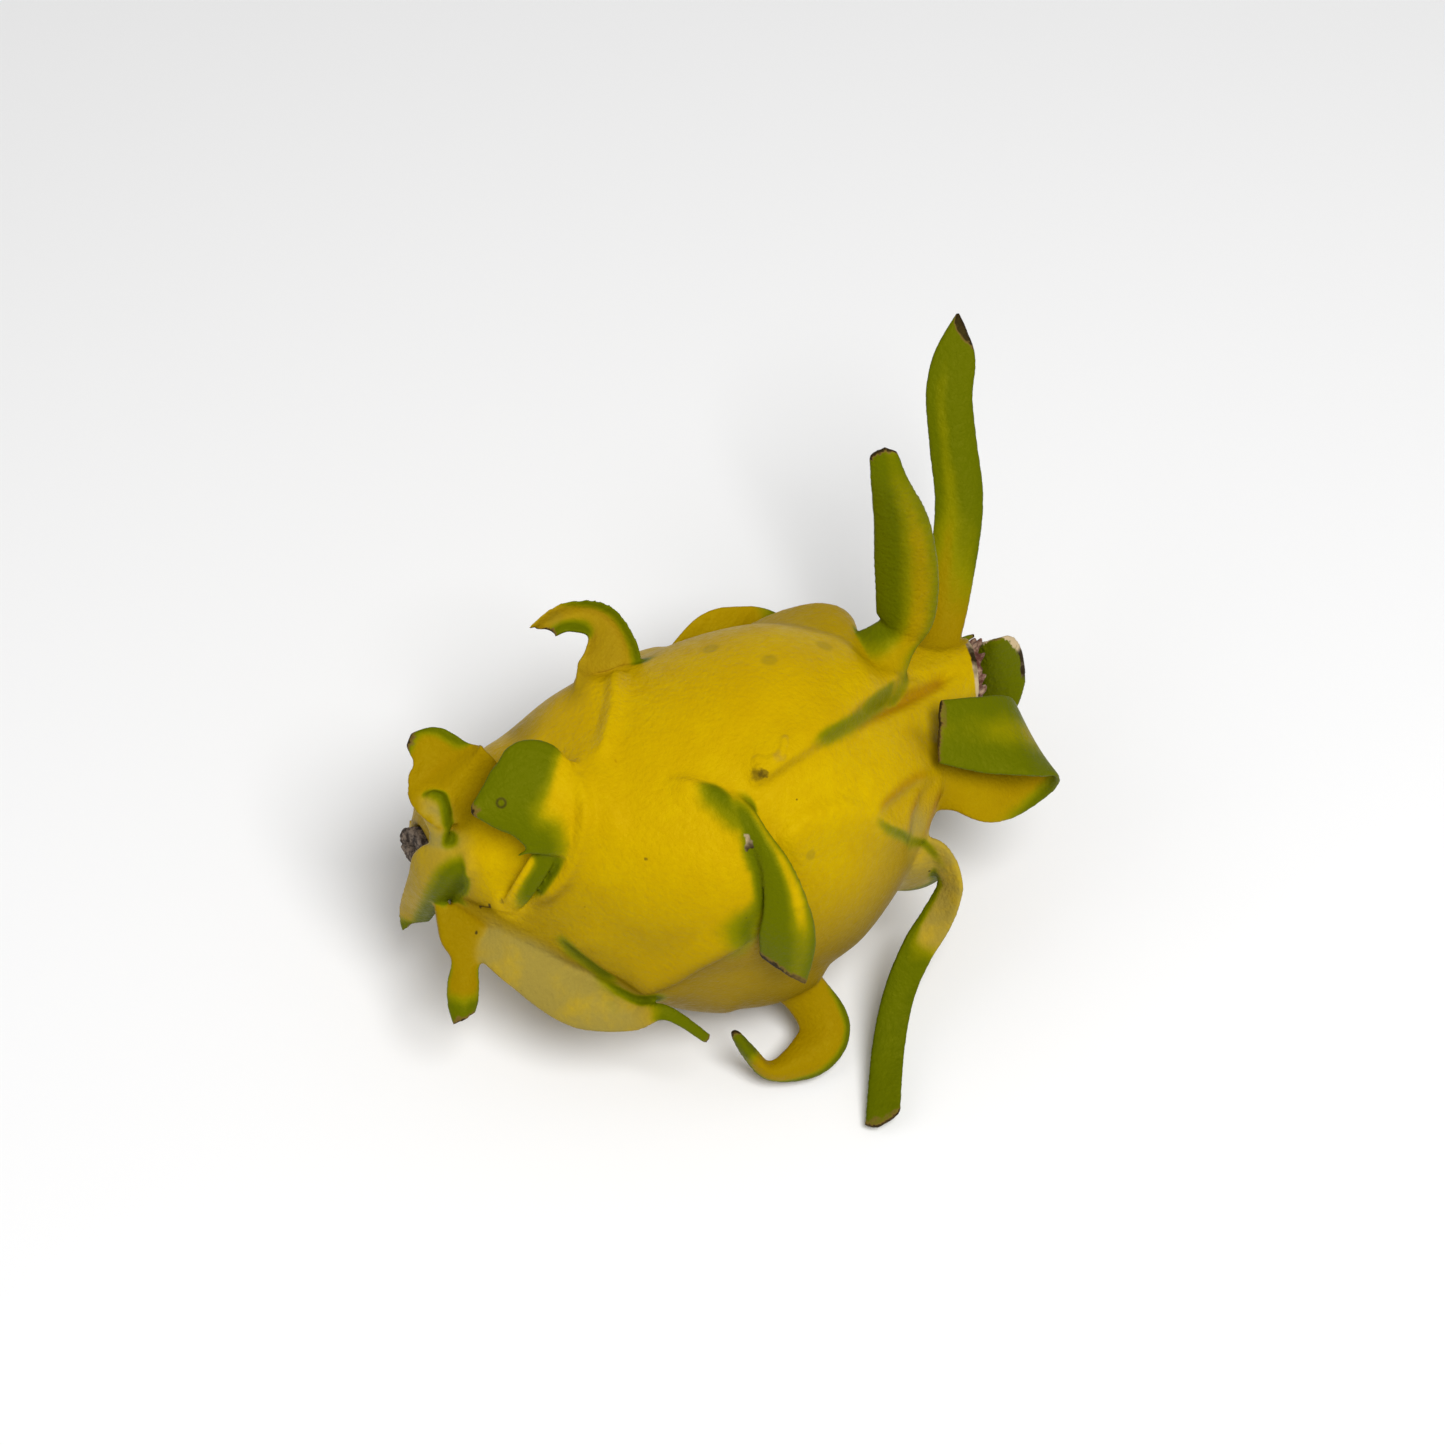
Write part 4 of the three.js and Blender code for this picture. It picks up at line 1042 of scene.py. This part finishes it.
# %% Rind material
colour = YELLOW
for mask, paint in layers:
    colour = rind.mix(mask, colour, paint)
scratch_height = scratch.ramp(0.0002, 0.0012, 1, 0)
skin_bump = rind.bump(pits + 0.8 * grain + scratch_height, 0.0007, 0.42)
rind.set(base_color=colour, roughness=grain.ramp(0.3, 0.7, 0.4, 0.55), normal=skin_bump,
         specular_ior_level=0.11, specular_tint=(1, 0.82, 0.1, 1))
fruit.data.materials.append(rind.material)
print("rind:", len(rind.tree.nodes), "nodes")

# %% [markdown]
# ## Cut stem and dried flower
# A short end of the woody stem stays in its socket, and the flower dries up in the navel at the other
# end. Both are turned shapes, so the function that made the body makes them too, and noise that runs
# round the axis tears their ends. Single fibres would take far more faces than anyone could see.

# %% Stem stub
STEM_REACH, FLOWER_REACH, FIT_GAP = 1.3, 3.5, 0.3


def ragged(seed, size, along, around):
    turn = np.radians(around)
    return np.array([noise.noise((size * math.sin(t), size * math.cos(t), seed + a / 3))
                     for t, a in zip(turn, along)])


def stem_shift(along, radius, around):
    end = smooth((0.6 - along) / 1.2)
    crack = ragged(3.0, 5, 0 * along, around)
    slant = CUT_TILT * np.cos(np.radians(around - CUT_LOW)) * radius / SOCKET_RADIUS
    return end * (slant + 0.5 * crack * (radius > 0.8)), end * (0.5 * crack - 0.3) * (radius > 1.5)


inner = SOCKET_DEPTH - FIT_GAP
stem_profile = [
    (1.2 - STEM_REACH, 0), (1.0 - STEM_REACH, 0.7), (0.1 - STEM_REACH, 1.0), (-STEM_REACH, 1.5),
    (-STEM_REACH, 4.0), (0.5 - STEM_REACH, 4.6), (inner, 4.7), (inner, 0),
]
stem_mesh = as_mesh("stem", turned(stem_profile, 60, 90, stem_shift))
stem = piece("fine_stem_stub", stem_mesh, "stem_stub")
print("stem:", len(stem_mesh.polygons), "faces")


# %% Flower remnant
def flower_shift(along, radius, around):
    end = rise(along, LENGTH - 1, 2.5)
    tear = ragged(9.0, 3.5, 0 * along, around)
    back = rim_tilt(LENGTH, around)
    return end * (2.2 * tear - 1.6 - back), end * 0.7 * ragged(5.0, 6, along, around)


top, bottom = LENGTH + FLOWER_REACH, LENGTH - NAVEL_DEPTH + FIT_GAP
flower_profile = [
    (bottom, 0), (bottom, 3.2), (LENGTH - 6, 4.5), (LENGTH, 5.7), (LENGTH + 1.2, 6.0), (top, 5.8),
    (top, 4.8), (LENGTH - 1, 3.6), (LENGTH - 3, 1.4), (LENGTH - 2.6, 0),
]
flower_mesh = as_mesh("flower", turned(flower_profile, 90, 120, flower_shift))
flower = piece("fine_flower_remnant", flower_mesh, "flower_remnant")
print("flower:", len(flower_mesh.polygons), "faces")


# %% Dry finishes
def dry_finish(name, size, steps, dark, light, roughness, bump_size):
    """Cloudy brown from dark to light, with a coarse bump."""
    made = Finish(name)
    made.set(base_color=made.mix(made.noise(size, 4, 0.6).ramp(*steps), dark, light),
             roughness=roughness, normal=made.bump(made.noise(bump_size, 3), 0.0004, 0.7))
    return made.material


stem.data.materials.append(dry_finish(
    "dry_wood", 0.0012, (0.38, 0.66), (0.025, 0.014, 0.008), (0.24, 0.18, 0.13), 0.9, 0.0006))
flower.data.materials.append(dry_finish(
    "dried_flower_tissue", 0.002, (0.4, 0.7), (0.09, 0.022, 0.012), (0.45, 0.3, 0.2), 0.85, 0.0008))
print(stem.data.materials[0].name, "and", flower.data.materials[0].name)

# %% [markdown]
# ## Stage
# A pale floor, one broad light high to the right of the camera, a weaker one to its left and a
# bright room make soft, even light. Small lights would glare on the wax and draw hard shadows.

# %% Floor
floor_shape = bmesh.new()
bmesh.ops.create_grid(floor_shape, x_segments=1, y_segments=1, size=4)
floor = linked("floor", as_mesh("floor", floor_shape))
paint = Finish("pale_floor")
paint.set(base_color=(0.92, 0.92, 0.92, 1), roughness=0.8)
floor.data.materials.append(paint.material)
print("floor:", round(floor.dimensions.x), "m wide")


# %% Lights and camera
LIT = (0, 0, 0.04)


def facing(made, place, direction):
    made.location = place
    made.rotation_euler = Vector(direction).to_track_quat("-Z", "Y").to_euler()


def lamp(name, place, size, power):
    data = bpy.data.lights.new(name, "AREA")
    data.shape, data.size, data.energy = "DISK", size, power
    facing(linked(name, data), place, Vector(LIT) - Vector(place))


lamp("key", (0.1, -0.5, 1.0), 0.55, 10.0)
lamp("fill", (-0.7, 0.1, 0.7), 0.8, 1.2)
world = bpy.data.worlds.new("room")
world.use_nodes = True
background = world.node_tree.nodes["Background"].inputs
background["Color"].default_value = (1, 1, 1, 1)
background["Strength"].default_value = 0.35
bpy.context.scene.world = world
bpy.context.scene.view_settings.view_transform = "Standard"

TARGET = Vector((7.9, 21.5, 38.8)) * MM
DISTANCE, AZIMUTH, ELEVATION = 0.720, math.radians(-21), math.radians(55)
back = Vector((math.sin(AZIMUTH) * math.cos(ELEVATION), -math.cos(AZIMUTH) * math.cos(ELEVATION),
               math.sin(ELEVATION)))
camera = linked("camera", bpy.data.cameras.new("camera"))
camera.data.lens, camera.data.sensor_width = 85, 36
facing(camera, TARGET + back * DISTANCE, -back)
bpy.context.scene.camera = camera
print("camera at", [round(x, 3) for x in camera.location])
